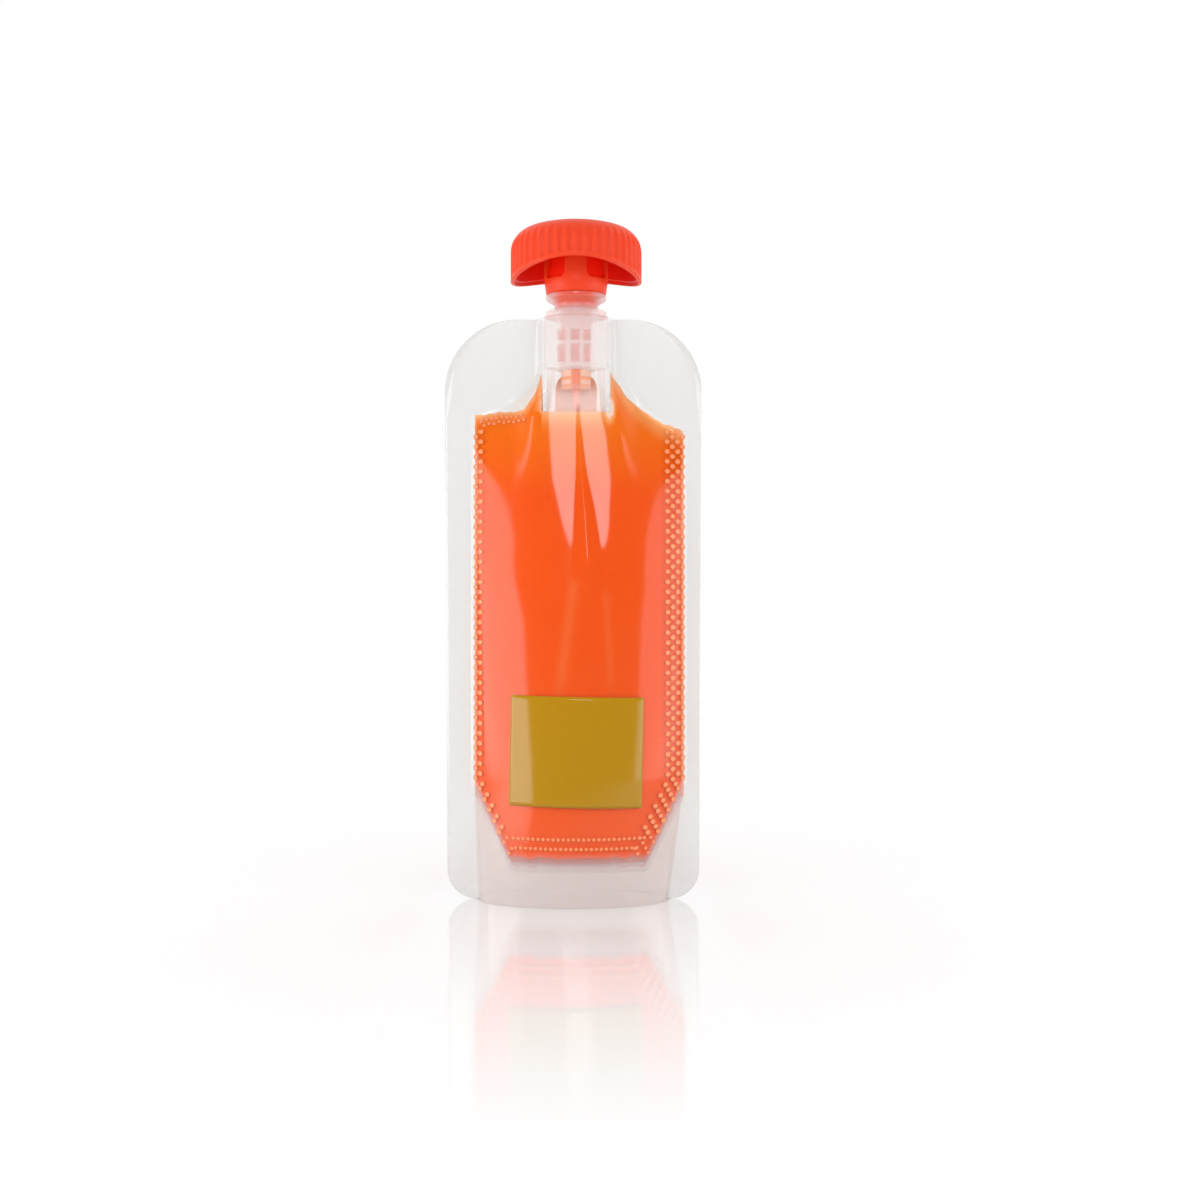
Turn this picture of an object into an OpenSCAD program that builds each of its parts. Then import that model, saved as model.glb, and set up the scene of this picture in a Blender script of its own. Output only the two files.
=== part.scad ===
// Squeeze pouch for soft food: two clear films and a gusset that opens into an oval foot,
// filled with puree and closed by a moulded spout with a large ribbed screw cap.
// Millimetres, +Z up, front towards -Y, origin on the table under the middle of the foot.

/* [Film] */
// Width of the film at the height of its top corners
film_w = 73.4; // [68:0.2:80]
// How much narrower the film is at its foot
film_taper = 1.8; // [0:0.2:3]
// Height of the film from the table to its top edge
film_h = 165; // [160:0.2:190]
// Thickness of one film
film_t = 0.3; // [0.2:0.05:0.4]
// Radius of the two top corners
top_corner_r = 20.8; // [14:0.2:24]
// Radius of the two foot corners
foot_corner_r = 8.5; // [5:0.5:12]

/* [Seals] */
// Width of the flat seal along the left side
left_seal = 8.2; // [6:0.2:11]
// Width of the flat seal along the right side
right_seal = 4.8; // [4:0.2:8]
// How far below the top edge the pocket begins to close in on the left
left_shoulder_drop = 27.6; // [25:0.2:38]
// How far below the top edge the pocket begins to close in on the right
right_shoulder_drop = 33.2; // [25:0.2:38]
// How sharply the left shoulder turns up towards the spout
left_shoulder_curve = 2.2; // [1:0.1:2.6]
// How sharply the right shoulder turns up towards the spout
right_shoulder_curve = 1.7; // [1:0.1:2.6]

/* [Foot] */
// Depth of the oval foot, from front to back
foot_depth = 30; // [24:0.5:36]
// Width of the closed strip where the films meet beside the foot
foot_seal = 9.6; // [8.8:0.2:12]
// Height of the skirt that the pouch stands on
skirt_h = 12.5; // [11:0.5:18]
// Width of the level part of the seal along the skirt
skirt_level_w = 38; // [28:1:44]
// Height at which the sloping corner seals meet the side seals
corner_seal_z = 34.5; // [30:0.5:44]
// How far the gusset floor hangs below its seal
floor_sag = 4.5; // [2:0.5:6]

/* [Filling] */
// Thickness of the full pouch at its fattest
bulge = 27; // [20:0.5:32]
// Height at which the full pouch begins to thin towards the spout
full_z = 78; // [60:1:95]

/* [Label] */
// Width of the printed patch
label_w = 37; // [20:0.5:44]
// Height of the printed patch
label_h = 30.6; // [16:0.2:36]
// Height of the middle of the patch above the table
label_z = 43; // [40:0.5:70]
// Offset of the patch to the right of the middle
label_x = 1; // [-4:0.5:4]
// Thickness of the patch
label_t = 0.1; // [0.05:0.05:0.2]

/* [Spout] */
// Offset of the spout to the right of the middle of the film
spout_x = 0.8; // [-2:0.1:2]
// Radius of the bore through the spout
bore_r = 4.3; // [3.8:0.1:4.4]
// Outer radius of the mouth tube
tube_r = 5.6; // [5.5:0.05:5.7]
// Height of the mouth above the top edge of the film
mouth_h = 23.4; // [22:0.2:27]
// Radius of the lower flange, which lies on the edge of the film
lower_flange_r = 8.7; // [8:0.1:9.4]
// Thickness of the lower flange
lower_flange_t = 1.6; // [1:0.1:2]
// Radius of the groove between the flanges
groove_r = 6.8; // [6.4:0.1:7.4]
// Height of the groove between the flanges
groove_h = 3.4; // [2.4:0.1:3.8]
// Radius of the upper flange
upper_flange_r = 8.6; // [8:0.1:9.4]
// Thickness of the upper flange
upper_flange_t = 1.3; // [0.8:0.1:1.5]
// Half width of the boat that is welded between the films
boat_a = 9.2; // [8.6:0.1:10]
// Half depth of the boat
boat_b = 5.8; // [5.7:0.05:6.4]
// Height of the boat
boat_h = 14.2; // [11:0.2:15]
// Height of the ribbed tube that hangs below the boat
drop_h = 6; // [4:0.5:8]
// Spacing of the ladder ribs on the boat and the tube below it
rung_pitch = 3.4; // [2.6:0.1:4]
// Thickness of a ladder rib
rung_t = 1.1; // [0.8:0.1:1.4]
// Height of each of the two legs that keep the films apart
leg_h = 15; // [12:0.5:18]
// Width of a leg
leg_w = 2.5; // [2:0.1:2.8]
// Depth of a leg from front to back
leg_d = 2.4; // [1.6:0.1:2.8]

/* [Thread] */
// Spacing between neighbouring turns of the thread
thread_pitch = 3; // [2.6:0.1:3.4]
// Number of thread starts
thread_starts = 2; // [1:1:2]
// Turns that each start makes
thread_turns = 0.75; // [0.5:0.25:1]
// How far a thread ridge stands out of its wall
thread_depth = 0.85; // [0.6:0.05:0.9]
// Width of a ridge at its crest
thread_crest_w = 0.7; // [0.5:0.05:0.8]
// Extra width of a ridge at its root
thread_root_extra = 0.5; // [0.3:0.05:0.6]
// Distance from the mouth down to the top end of the spout's thread
thread_drop = 4; // [3:0.25:5]

/* [Cap] */
// Radius of the grip
cap_r = 18.65; // [17:0.05:21]
// Height of the cap from the lowest point of its rim to the top
cap_h = 17.2; // [15.5:0.1:19]
// Thickness of the cap's wall
cap_wall = 1.5; // [1.2:0.1:1.8]
// Thickness of the rim
rim_t = 1.1; // [0.9:0.05:1.2]
// Radius of the nearly flat top
cap_top_r = 13.2; // [11:0.1:14]
// How far the top is domed
cap_dome = 1.9; // [1:0.1:2.5]
// Height of the rounded shoulder between the top and the side
cap_shoulder_h = 6.6; // [5:0.1:8]
// How far the rim rises at the front and the back
rim_rise = 4.1; // [2:0.1:4.4]
// Height of the smooth band along the rim
rim_band = 1.3; // [0.8:0.1:2]
// Number of flutes round the grip
flutes = 44; // [24:2:48]
// Radius of a flute's cut
flute_r = 0.85; // [0.6:0.05:0.9]
// Depth of a flute
flute_depth = 0.42; // [0.2:0.02:0.5]
// Outer radius of the collar at its lower edge
collar_low_r = 8.5; // [8.3:0.05:8.7]
// Outer radius of the collar at its upper edge
collar_high_r = 9.1; // [8.9:0.05:9.6]
// Height of the collar
collar_h = 4.2; // [3:0.1:5]
// Wall of the threaded barrel
barrel_wall = 1.05; // [0.9:0.05:1.1]
// Width of each of the four webs between collar and cap
web_w = 6.3; // [4:0.1:7]
// Thickness of the liner disc
liner_t = 0.8; // [0.5:0.05:1]

/* [Clearances] */
// Gap between the two films where they are welded
weld_gap = 0.04; // [0.02:0.01:0.08]
// Gap between the films and what lies in them
film_gap = 0.45; // [0.4:0.05:0.6]
// Gap between the thread crests and the wall that they face
thread_gap = 0.4; // [0.3:0.05:0.5]
// Gap between faces that rest on each other
seat_gap = 0.1; // [0.05:0.01:0.15]
// Radial gap round the liner disc
liner_gap = 0.3; // [0.2:0.05:0.5]

/* [Hidden] */

film_colour = [0.87, 0.87, 0.86, 0.35];
puree_colour = [0.96, 0.35, 0.03];
label_colour = [0.73, 0.54, 0.10];
spout_colour = [0.93, 0.86, 0.84, 0.6];
liner_colour = [0.95, 0.94, 0.92];
cap_colour = [0.92, 0.27, 0.15];

round_fn = 96;
small_fn = 32;
join = 0.4; // how deep fused shapes run into each other
past = 1; // how far a cut runs past the face it opens

// Heights up the spout and the cap
boat_z = film_h - boat_h;
drop_z = boat_z - drop_h;
leg_z = boat_z - leg_h;
flange_z = film_h + film_t + seat_gap;
groove_z = flange_z + lower_flange_t;
upper_flange_z = groove_z + groove_h;
spout_shoulder_z = upper_flange_z + upper_flange_t;
mouth_z = film_h + mouth_h;
liner_z = mouth_z + seat_gap;
ceiling_z = liner_z + liner_t + seat_gap;
collar_z = spout_shoulder_z + seat_gap;
cap_top_z = ceiling_z + 2 * cap_wall;
rim_z = cap_top_z - cap_h;
thread_lead = thread_pitch * thread_starts;
thread_rise = thread_lead * thread_turns;
spout_thread_z = mouth_z - thread_drop - thread_rise;
barrel_bore_r = tube_r + thread_depth + thread_gap;
barrel_r = barrel_bore_r + barrel_wall;

// The pocket of each side at its usual width, and where the foot opens to
pocket_left = film_w / 2 - left_seal;
pocket_right = film_w / 2 - right_seal;
pocket_mid = (pocket_right - pocket_left) / 2;
foot_open = film_w / 2 - foot_seal;
neck_drop = 1; // how far below the boat the pocket has closed in
neck_room = 1.5; // room beside the pointed ends of the boat
facet_room = 0.15; // extra room over the boat's round faces, for the films' flat facets
neck_z = boat_z - neck_drop;
neck_half_w = boat_a + neck_room;
neck_depth = boat_b + film_gap + facet_room;
left_shoulder_z = film_h - left_shoulder_drop;
right_shoulder_z = film_h - right_shoulder_drop;
edge_strip = 0.6; // least width kept between a film's edge and its pocket

// How full the cross-section is: 0.5 makes an ellipse and 1 a lens
foot_fullness = 0.5;
body_fullness = 0.72;
neck_fullness = 1;

// Counts of facets
seal_cols = 2;
pocket_cols = 14;
body_rows = 14;
corner_rows = 6;
foot_rows = 3;

function mix(a, b, t) = a + (b - a) * t;
function clamp01(t) = min(1, max(0, t));
function ease(t) = let (c = clamp01(t)) c * c * (3 - 2 * c);
function span(t, a, b) = clamp01((t - a) / (b - a));

// Outline of the film
function side_x(z) = film_w / 2 - film_taper / 2 * (1 - z / film_h);
function foot_inset(z) = foot_corner_r - sqrt(max(0, foot_corner_r ^ 2 - (foot_corner_r - z) ^ 2));
function top_inset(z) =
  top_corner_r - sqrt(max(0, top_corner_r ^ 2 - (z - film_h + top_corner_r) ^ 2));
function edge_x(z) =
  side_x(z) - (z < foot_corner_r ? foot_inset(z) : z > film_h - top_corner_r ? top_inset(z) : 0);

// Distance from the middle to the border of the pocket on one side, at height z
function pocket_x(z, body, shoulder_z, curve, neck) =
  z < corner_seal_z ? mix(foot_open, body, z / corner_seal_z)
    : mix(body, neck, 1 - (1 - span(z, shoulder_z, neck_z)) ^ curve);
function left_pocket_x(z) =
  -pocket_x(z, pocket_left, left_shoulder_z, left_shoulder_curve, neck_half_w - spout_x);
function right_pocket_x(z) =
  pocket_x(z, pocket_right, right_shoulder_z, right_shoulder_curve, neck_half_w + spout_x);

// Distance from the mid-plane to the inside of either film, less a gap
function mid_depth(z) =
  z < full_z ? mix(foot_depth / 2, bulge / 2, ease(z / full_z))
    : mix(bulge / 2, neck_depth, ease(span(z, full_z, neck_z)));
function fullness(z) =
  mix(mix(foot_fullness, body_fullness, ease(z / corner_seal_z)), neck_fullness,
    ease(span(z, mix(full_z, neck_z, 0.5), neck_z)));
function depth(x, z, gap = 0) =
  let (
    left = left_pocket_x(z) + 2 * gap,
    right = right_pocket_x(z) - 2 * gap,
    u = (2 * x - left - right) / (right - left)
  )
  abs(u) >= 1 ? 0 : (mid_depth(z) - gap) * (1 - u * u) ^ fullness(z);

// A closed skin between two grids of points that have the same rows and columns
module skin(outer, inner) {
  rows = len(outer);
  cols = len(outer[0]);
  half = rows * cols;
  function at(side, j, i) = side * half + j * cols + i;
  function quad(a, b, c, d) = [[a, b, c], [a, c, d]];
  points = [for (grid = [outer, inner]) for (row = grid) for (p = row) p];
  faces = [
    for (j = [0:rows - 2]) for (i = [0:cols - 2]) each quad(
      at(0, j, i), at(0, j + 1, i), at(0, j + 1, i + 1), at(0, j, i + 1)
    ),
    for (j = [0:rows - 2]) for (i = [0:cols - 2]) each quad(
      at(1, j, i), at(1, j, i + 1), at(1, j + 1, i + 1), at(1, j + 1, i)
    ),
    for (i = [0:cols - 2]) each quad(at(0, 0, i), at(0, 0, i + 1), at(1, 0, i + 1), at(1, 0, i)),
    for (i = [0:cols - 2]) each quad(
      at(0, rows - 1, i), at(1, rows - 1, i), at(1, rows - 1, i + 1), at(0, rows - 1, i + 1)
    ),
    for (j = [0:rows - 2]) each quad(at(0, j, 0), at(1, j, 0), at(1, j + 1, 0), at(0, j + 1, 0)),
    for (j = [0:rows - 2]) each quad(
      at(0, j, cols - 1), at(0, j + 1, cols - 1), at(1, j + 1, cols - 1), at(1, j, cols - 1)
    ),
  ];
  polyhedron(points, faces);
}

// A closed solid through loops of points that all run the same way round
module loft(loops) {
  n = len(loops[0]);
  last = len(loops) - 1;
  points = [for (loop = loops) for (p = loop) p];
  faces = [
    [for (k = [n - 1:-1:0]) k],
    for (s = [0:last - 1]) for (k = [0:n - 1]) let (m = (k + 1) % n) each [
      [s * n + k, s * n + m, (s + 1) * n + m], [s * n + k, (s + 1) * n + m, (s + 1) * n + k]
    ],
    [for (k = [0:n - 1]) last * n + k],
  ];
  polyhedron(points, faces);
}

// Rows and columns of the film's grid
least_row = 0.8; // least height of a row
low_shoulder_z = min(left_shoulder_z, right_shoulder_z);
high_shoulder_z = max(left_shoulder_z, right_shoulder_z, low_shoulder_z + least_row);
film_rows = [
  for (a = [0:foot_rows - 1]) foot_corner_r * (1 - cos(90 * a / foot_rows)),
  for (k = [0:body_rows - 1]) mix(foot_corner_r, low_shoulder_z, k / (body_rows - 1)),
  high_shoulder_z,
  mix(high_shoulder_z, film_h - top_corner_r, 0.5),
  for (a = [0:corner_rows]) film_h - top_corner_r * (1 - sin(90 * a / corner_rows)),
];
function film_x(k, z) =
  let (
    left = max(left_pocket_x(z), edge_strip - edge_x(z)),
    right = min(right_pocket_x(z), edge_x(z) - edge_strip),
    first = seal_cols,
    last = seal_cols + pocket_cols
  )
  k < first ? mix(-edge_x(z), left, k / seal_cols)
    : k > last ? mix(right, edge_x(z), (k - last) / seal_cols)
      : mix(left, right, (1 - cos(180 * (k - first) / pocket_cols)) / 2);
function on_film(x, z, out) = [x, -depth(x, z) - weld_gap / 2 - out, z];
function film_grid(out) = [
  for (z = film_rows) [for (k = [0:pocket_cols + 2 * seal_cols]) on_film(film_x(k, z), z, out)]
];

module wall_film() {
  skin(film_grid(film_t), film_grid(0));
}

module front_film() {
  color(film_colour) wall_film();
}

module back_film() {
  color(film_colour) mirror([0, 1, 0]) wall_film();
}

// The gusset stops this far short of the side of the pocket
gusset_inset = 2.2;
gusset_left = gusset_inset - pocket_left;
gusset_right = pocket_right - gusset_inset;

// Height of the gusset's seal, and of its floor, at a place across the foot
level_left = pocket_mid - skirt_level_w / 2;
level_right = pocket_mid + skirt_level_w / 2;
function seal_z(x) =
  let (
    off = max(0, level_left - x, x - level_right),
    slope = (corner_seal_z - skirt_h) / ((pocket_left + pocket_right - skirt_level_w) / 2)
  )
  min(skirt_h + slope * off, corner_seal_z - gusset_inset);
function floor_z(x, across) = seal_z(x) - floor_sag * (1 - across * across) * span(seal_z(x), 0, skirt_h);

// A line down the skirt from the seal at x spreads towards the foot as the pocket does
function skirt_left(z) = left_pocket_x(z) + gusset_inset;
function skirt_right(z) = right_pocket_x(z) - gusset_inset;
function skirt_x(x, z) =
  let (top = seal_z(x), share = (x - skirt_left(top)) / (skirt_right(top) - skirt_left(top)))
  mix(skirt_left(z), skirt_right(z), share);
function skirt_point(x, z, side) =
  let (sx = skirt_x(x, z)) [sx, side * depth(sx, z, film_gap), z];

slope_steps = 7;
level_steps = 8;
skirt_steps = 4;
floor_steps = 8;
gusset_stations = [
  for (k = [0:slope_steps - 1]) mix(gusset_left, level_left, 1 - cos(90 * k / slope_steps)),
  for (k = [0:level_steps - 1]) mix(level_left, level_right, k / level_steps),
  for (k = [0:slope_steps]) mix(level_right, gusset_right, sin(90 * k / slope_steps)),
];
function gusset_path(x) =
  let (top = seal_z(x))
  [
    for (k = [0:skirt_steps - 1]) skirt_point(x, top * k / skirt_steps, 1),
    for (k = [0:floor_steps]) let (across = 1 - 2 * k / floor_steps)
      [x, across * depth(x, top, film_gap), floor_z(x, across)],
    for (k = [skirt_steps - 1:-1:0]) skirt_point(x, top * k / skirt_steps, -1),
  ];
gusset_outside = [for (x = gusset_stations) gusset_path(x)];

// A grid moved inwards along its normals, with its first and last columns kept at their height
function unit(v) = v / norm(v);
function sum(list, k = 0) = k < len(list) - 1 ? list[k] + sum(list, k + 1) : list[k];
function grid_normal(grid, j, i) =
  let (
    rows = len(grid) - 1,
    cols = len(grid[0]) - 1,
    rim = i == 0 || i == cols,
    here = grid[j][i],
    around = sum([
      for (dj = [-1, 1]) if (j + dj >= 0 && j + dj <= rows)
        for (di = [-1, 1]) if (i + di >= 0 && i + di <= cols)
          unit(cross((grid[j + dj][i] - here) * dj, (grid[j][i + di] - here) * di))
    ])
  )
  unit(rim ? [around[0], around[1], 0] : around);
function thickened(grid, wall) = [
  for (j = [0:len(grid) - 1]) [for (i = [0:len(grid[0]) - 1]) grid[j][i] - wall * grid_normal(grid, j, i)]
];

module base_gusset() {
  color(film_colour) skin(gusset_outside, thickened(gusset_outside, film_t));
}

// The filling stays clear of the films, the gusset and the lower end of the spout
puree_gap = 2 * film_gap;
puree_inset = 2.4; // how far the filling stops short of the side seals
spout_room = boat_a + film_gap;
puree_steps = 9;
puree_rise = 10;
wall_step = 0.1; // half the width over which the filling steps down beside the spout
top_space = 3; // how far the filling stays below the sloping top seals
function turn_up(share, curve) = 1 - (1 - share) ^ (1 / curve);
function shoulder_z(x) =
  x < spout_x
    ? mix(left_shoulder_z, neck_z, turn_up(span(x, -pocket_left, spout_x - neck_half_w), left_shoulder_curve))
    : mix(right_shoulder_z, neck_z, turn_up(span(x, pocket_right, spout_x + neck_half_w), right_shoulder_curve));
function puree_top(x) = abs(x - spout_x) < spout_room ? leg_z - puree_gap : shoulder_z(x) - top_space;
puree_stations = [
  for (k = [0:puree_steps]) mix(puree_inset - pocket_left, spout_x - spout_room - wall_step, k / puree_steps),
  for (k = [0:puree_steps]) mix(spout_x - spout_room + wall_step, spout_x + spout_room - wall_step, k / puree_steps),
  for (k = [0:puree_steps]) mix(spout_x + spout_room + wall_step, pocket_right - puree_inset, k / puree_steps),
];
function puree_loop(x) =
  let (low = floor_z(x, 1) + puree_gap, high = puree_top(x))
  [
    for (k = [puree_rise:-1:0]) let (z = mix(low, high, k / puree_rise)) [x, -depth(x, z, puree_gap), z],
    for (k = [1:floor_steps - 1]) let (across = 2 * k / floor_steps - 1)
      [x, across * depth(x, low, puree_gap), floor_z(x, across) + puree_gap],
    for (k = [0:puree_rise]) let (z = mix(low, high, k / puree_rise)) [x, depth(x, z, puree_gap), z],
  ];

module puree() {
  color(puree_colour) loft([for (x = puree_stations) puree_loop(x)]);
}

// The printed patch lies on the outside of the front film
label_cols = 10;
label_rows = 8;
function label_grid(out) = [
  for (j = [0:label_rows]) let (z = label_z + label_h * (j / label_rows - 0.5)) [
    for (i = [0:label_cols]) on_film(label_x + label_w * (i / label_cols - 0.5), z, out)
  ]
];

module label_patch() {
  color(label_colour)
    skin(label_grid(film_t + seat_gap + label_t), label_grid(film_t + seat_gap));
}

// One helical ridge on a wall of radius wall_r; reach is outward, or inward if negative
thread_facets = 24;
module thread_ridge(wall_r, reach, low_z, phase) {
  root_r = wall_r - sign(reach) * join;
  crest_r = wall_r + reach;
  root_w = thread_crest_w + thread_root_extra;
  inner_r = min(root_r, crest_r);
  outer_r = max(root_r, crest_r);
  inner_w = reach > 0 ? root_w : thread_crest_w;
  outer_w = reach > 0 ? thread_crest_w : root_w;
  loft([
    for (i = [0:thread_facets * thread_turns]) let (
      a = phase + 360 * i / thread_facets,
      z = low_z + thread_lead * i / thread_facets,
      c = [cos(a), sin(a), 0]
    )
    [
      inner_r * c + [0, 0, z - inner_w / 2], outer_r * c + [0, 0, z - outer_w / 2],
      outer_r * c + [0, 0, z + outer_w / 2], inner_r * c + [0, 0, z + inner_w / 2],
    ]
  ]);
}

module thread(wall_r, reach, low_z, phase) {
  for (s = [0:thread_starts - 1]) thread_ridge(wall_r, reach, low_z, phase + 360 * s / thread_starts);
}

// A lens-shaped prism with pointed ends, half width a and half depth b
module lens(a, b, h) {
  r = (a * a + b * b) / (2 * b);
  intersection() {
    translate([0, r - b, 0]) cylinder(r = r, h = h, $fn = round_fn);
    translate([0, b - r, 0]) cylinder(r = r, h = h, $fn = round_fn);
  }
}

leg_setback = 0.8; // distance from the boat's pointed end to the leg
module spout_leg(side) {
  leg_x = boat_a - leg_w / 2 - leg_setback;
  foot_r = min(leg_w, leg_d) / 2;
  translate([side * leg_x, 0, leg_z + foot_r]) {
    translate([-leg_w / 2, -leg_d / 2, 0]) cube([leg_w, leg_d, leg_h - foot_r + join]);
    rotate([90, 0, 0]) cylinder(r = foot_r, h = leg_d, center = true, $fn = small_fn);
  }
}

rung_step = 0.3; // how far a ladder rib stands out
flange_edge = 0.4; // chamfer on the rims of the flanges and the mouth
module spout_outside() {
  rotate_extrude($fn = round_fn)
    polygon([
      [0, film_h - join], [tube_r, film_h - join], [tube_r, flange_z],
      [lower_flange_r - flange_edge, flange_z], [lower_flange_r, flange_z + flange_edge],
      [lower_flange_r, groove_z - flange_edge], [lower_flange_r - flange_edge, groove_z],
      [groove_r, groove_z], [groove_r, upper_flange_z],
      [upper_flange_r - flange_edge, upper_flange_z], [upper_flange_r, upper_flange_z + flange_edge],
      [upper_flange_r, spout_shoulder_z - flange_edge], [upper_flange_r - flange_edge, spout_shoulder_z],
      [tube_r, spout_shoulder_z], [tube_r, mouth_z - flange_edge], [tube_r - flange_edge, mouth_z], [0, mouth_z],
    ]);
  translate([0, 0, boat_z]) lens(boat_a, boat_b - rung_step, boat_h);
  for (z = [boat_z:rung_pitch:film_h - rung_t]) translate([0, 0, z]) lens(boat_a, boat_b, rung_t);
  translate([0, 0, drop_z]) cylinder(r = tube_r - rung_step, h = drop_h + join, $fn = round_fn);
  for (z = [boat_z - rung_pitch:-rung_pitch:drop_z])
    translate([0, 0, z]) cylinder(r = tube_r, h = rung_t, $fn = round_fn);
  for (side = [-1, 1]) spout_leg(side);
  thread(tube_r, thread_depth, spout_thread_z, 0);
}

module spout() {
  color(spout_colour)
    translate([spout_x, 0, 0])
      difference() {
        spout_outside();
        translate([0, 0, leg_z - past]) cylinder(r = bore_r, h = mouth_z - leg_z + 2 * past, $fn = round_fn);
      }
}

module cap_liner() {
  color(liner_colour)
    translate([spout_x, 0, liner_z]) cylinder(r = barrel_bore_r - liner_gap, h = liner_t, $fn = round_fn);
}

// Profile of the cap's shell: its outside is a shallow dome, a rounded shoulder and a straight side
dome_points = 4;
shoulder_points = 7;
shoulder_start = 15; // slope at which the dome runs into the shoulder
function dome_curve(top_r, side_r, top_z, dome, shoulder_h) = [
  for (k = [0:dome_points - 1]) let (r = top_r * k / dome_points) [r, top_z - dome * (r / top_r) ^ 2],
  for (k = [0:shoulder_points]) let (a = mix(shoulder_start, 90, k / shoulder_points))
    [
      mix(top_r, side_r, (sin(a) - sin(shoulder_start)) / (1 - sin(shoulder_start))),
      top_z - dome - shoulder_h * (1 - cos(a) / cos(shoulder_start))
    ],
];
module cap_shell() {
  rotate_extrude($fn = round_fn)
    difference() {
      polygon(concat(dome_curve(cap_top_r, cap_r, cap_top_z, cap_dome, cap_shoulder_h), [[cap_r, rim_z], [0, rim_z]]));
      polygon(
        concat(
          dome_curve(cap_top_r - cap_wall, cap_r - cap_wall, cap_top_z - cap_wall, cap_dome, cap_shoulder_h - cap_wall),
          [[cap_r - cap_wall, rim_z + cap_wall], [cap_r - rim_t, rim_z + rim_band], [cap_r - rim_t, rim_z - past],
            [0, rim_z - past]]
        )
      );
    }
}

// What lies under an arch that spans the cap and rises to the given height at front and back
module under_arch(rise, low_z) {
  arch_r = (cap_r ^ 2 + rise ^ 2) / (2 * rise);
  translate([0, 0, low_z + rise - arch_r])
    rotate([90, 0, 0]) cylinder(r = arch_r, h = 2 * (cap_r + past), center = true, $fn = 2 * round_fn);
}

module cap_flutes() {
  difference() {
    for (k = [0:flutes - 1])
      rotate([0, 0, 360 * k / flutes])
        translate([cap_r + flute_r - flute_depth, 0, rim_z])
          cylinder(r = flute_r, h = cap_h, $fn = small_fn);
    under_arch(rim_rise, rim_z + rim_band);
  }
}

module cap_hub() {
  collar_top_z = collar_z + collar_h;
  translate([0, 0, collar_z]) cylinder(r1 = collar_low_r, r2 = collar_high_r, h = collar_h, $fn = round_fn);
  translate([0, 0, collar_z]) cylinder(r = barrel_r, h = cap_top_z - cap_wall - collar_z, $fn = round_fn);
  intersection() {
    translate([0, 0, collar_top_z - join])
      cylinder(r = collar_high_r, h = cap_top_z - cap_wall - collar_top_z + join, $fn = round_fn);
    for (turn = [0, 90])
      rotate([0, 0, turn]) translate([-cap_r, -web_w / 2, collar_z]) cube([2 * cap_r, web_w, cap_h]);
  }
}

module screw_cap() {
  color(cap_colour)
    translate([spout_x, 0, 0]) {
      difference() {
        union() {
          difference() {
            cap_shell();
            under_arch(rim_rise, rim_z);
            cap_flutes();
          }
          cap_hub();
        }
        translate([0, 0, collar_z - past])
          cylinder(r = barrel_bore_r, h = ceiling_z - collar_z + past, $fn = round_fn);
      }
      thread(barrel_bore_r, -thread_depth, spout_thread_z - thread_pitch / 2 - thread_rise / 2, -180 * thread_turns);
    }
}

front_film();
back_film();
base_gusset();
puree();
label_patch();
spout();
cap_liner();
screw_cap();
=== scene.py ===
"""Looks of a filled squeeze pouch: clear films, puree, weld dots, printed patch, spout, liner and cap.

+Z up, front towards -Y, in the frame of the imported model. The shapes are worked out in millimetres,
and new_piece turns them into metres; camera, lamps and materials are in metres.
"""

import math

import bpy
from mathutils import Matrix, Vector, noise

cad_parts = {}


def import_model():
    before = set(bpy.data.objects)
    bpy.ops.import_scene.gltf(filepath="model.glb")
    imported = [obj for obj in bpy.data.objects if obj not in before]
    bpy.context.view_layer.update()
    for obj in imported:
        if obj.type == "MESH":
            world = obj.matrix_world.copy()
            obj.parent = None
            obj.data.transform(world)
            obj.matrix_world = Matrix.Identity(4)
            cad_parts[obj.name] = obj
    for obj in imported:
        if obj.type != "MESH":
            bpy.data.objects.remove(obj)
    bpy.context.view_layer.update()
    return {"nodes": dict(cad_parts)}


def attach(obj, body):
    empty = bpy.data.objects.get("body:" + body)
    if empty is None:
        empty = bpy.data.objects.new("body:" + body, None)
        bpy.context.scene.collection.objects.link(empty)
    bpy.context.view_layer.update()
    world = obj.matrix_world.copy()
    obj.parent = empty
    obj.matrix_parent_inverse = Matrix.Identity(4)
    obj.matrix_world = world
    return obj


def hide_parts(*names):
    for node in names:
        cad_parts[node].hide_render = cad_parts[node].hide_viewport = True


MM = 0.001  # a millimetre in metres

# Camera: level, in front of the pouch and a little to the right of it
CAMERA_PLACE = (0.0076, -0.440, 0.0851)
FIELD_OF_VIEW = math.radians(42.47)

# Film outline
FILM_W = 73.4
FILM_TAPER = 1.8
FILM_H = 165
FILM_T = 0.3
TOP_CORNER_R = 20.8
FOOT_CORNER_R = 8.5
WELD_GAP = 0.04
FILM_GAP = 0.45

# Pocket between the seals
LEFT_SEAL = 8.2
RIGHT_SEAL = 4.8
LEFT_SHOULDER_Z = FILM_H - 27.6
RIGHT_SHOULDER_Z = FILM_H - 33.2
LEFT_SHOULDER_CURVE = 2.2
RIGHT_SHOULDER_CURVE = 1.7
POCKET_LEFT = FILM_W / 2 - LEFT_SEAL
POCKET_RIGHT = FILM_W / 2 - RIGHT_SEAL
POCKET_MID = (POCKET_RIGHT - POCKET_LEFT) / 2

# Foot
FOOT_DEPTH = 30
FOOT_OPEN = FILM_W / 2 - 9.6
SKIRT_H = 12.5
SKIRT_LEVEL_W = 38
CORNER_SEAL_Z = 34.5
FLOOR_SAG = 4.5
GUSSET_INSET = 2.2
GUSSET_EDGE = 0.5

# Filling
BULGE = 27
FULL_Z = 78
FOOT_FULLNESS = 0.5
BODY_FULLNESS = 0.72
NECK_FULLNESS = 1.0

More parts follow.
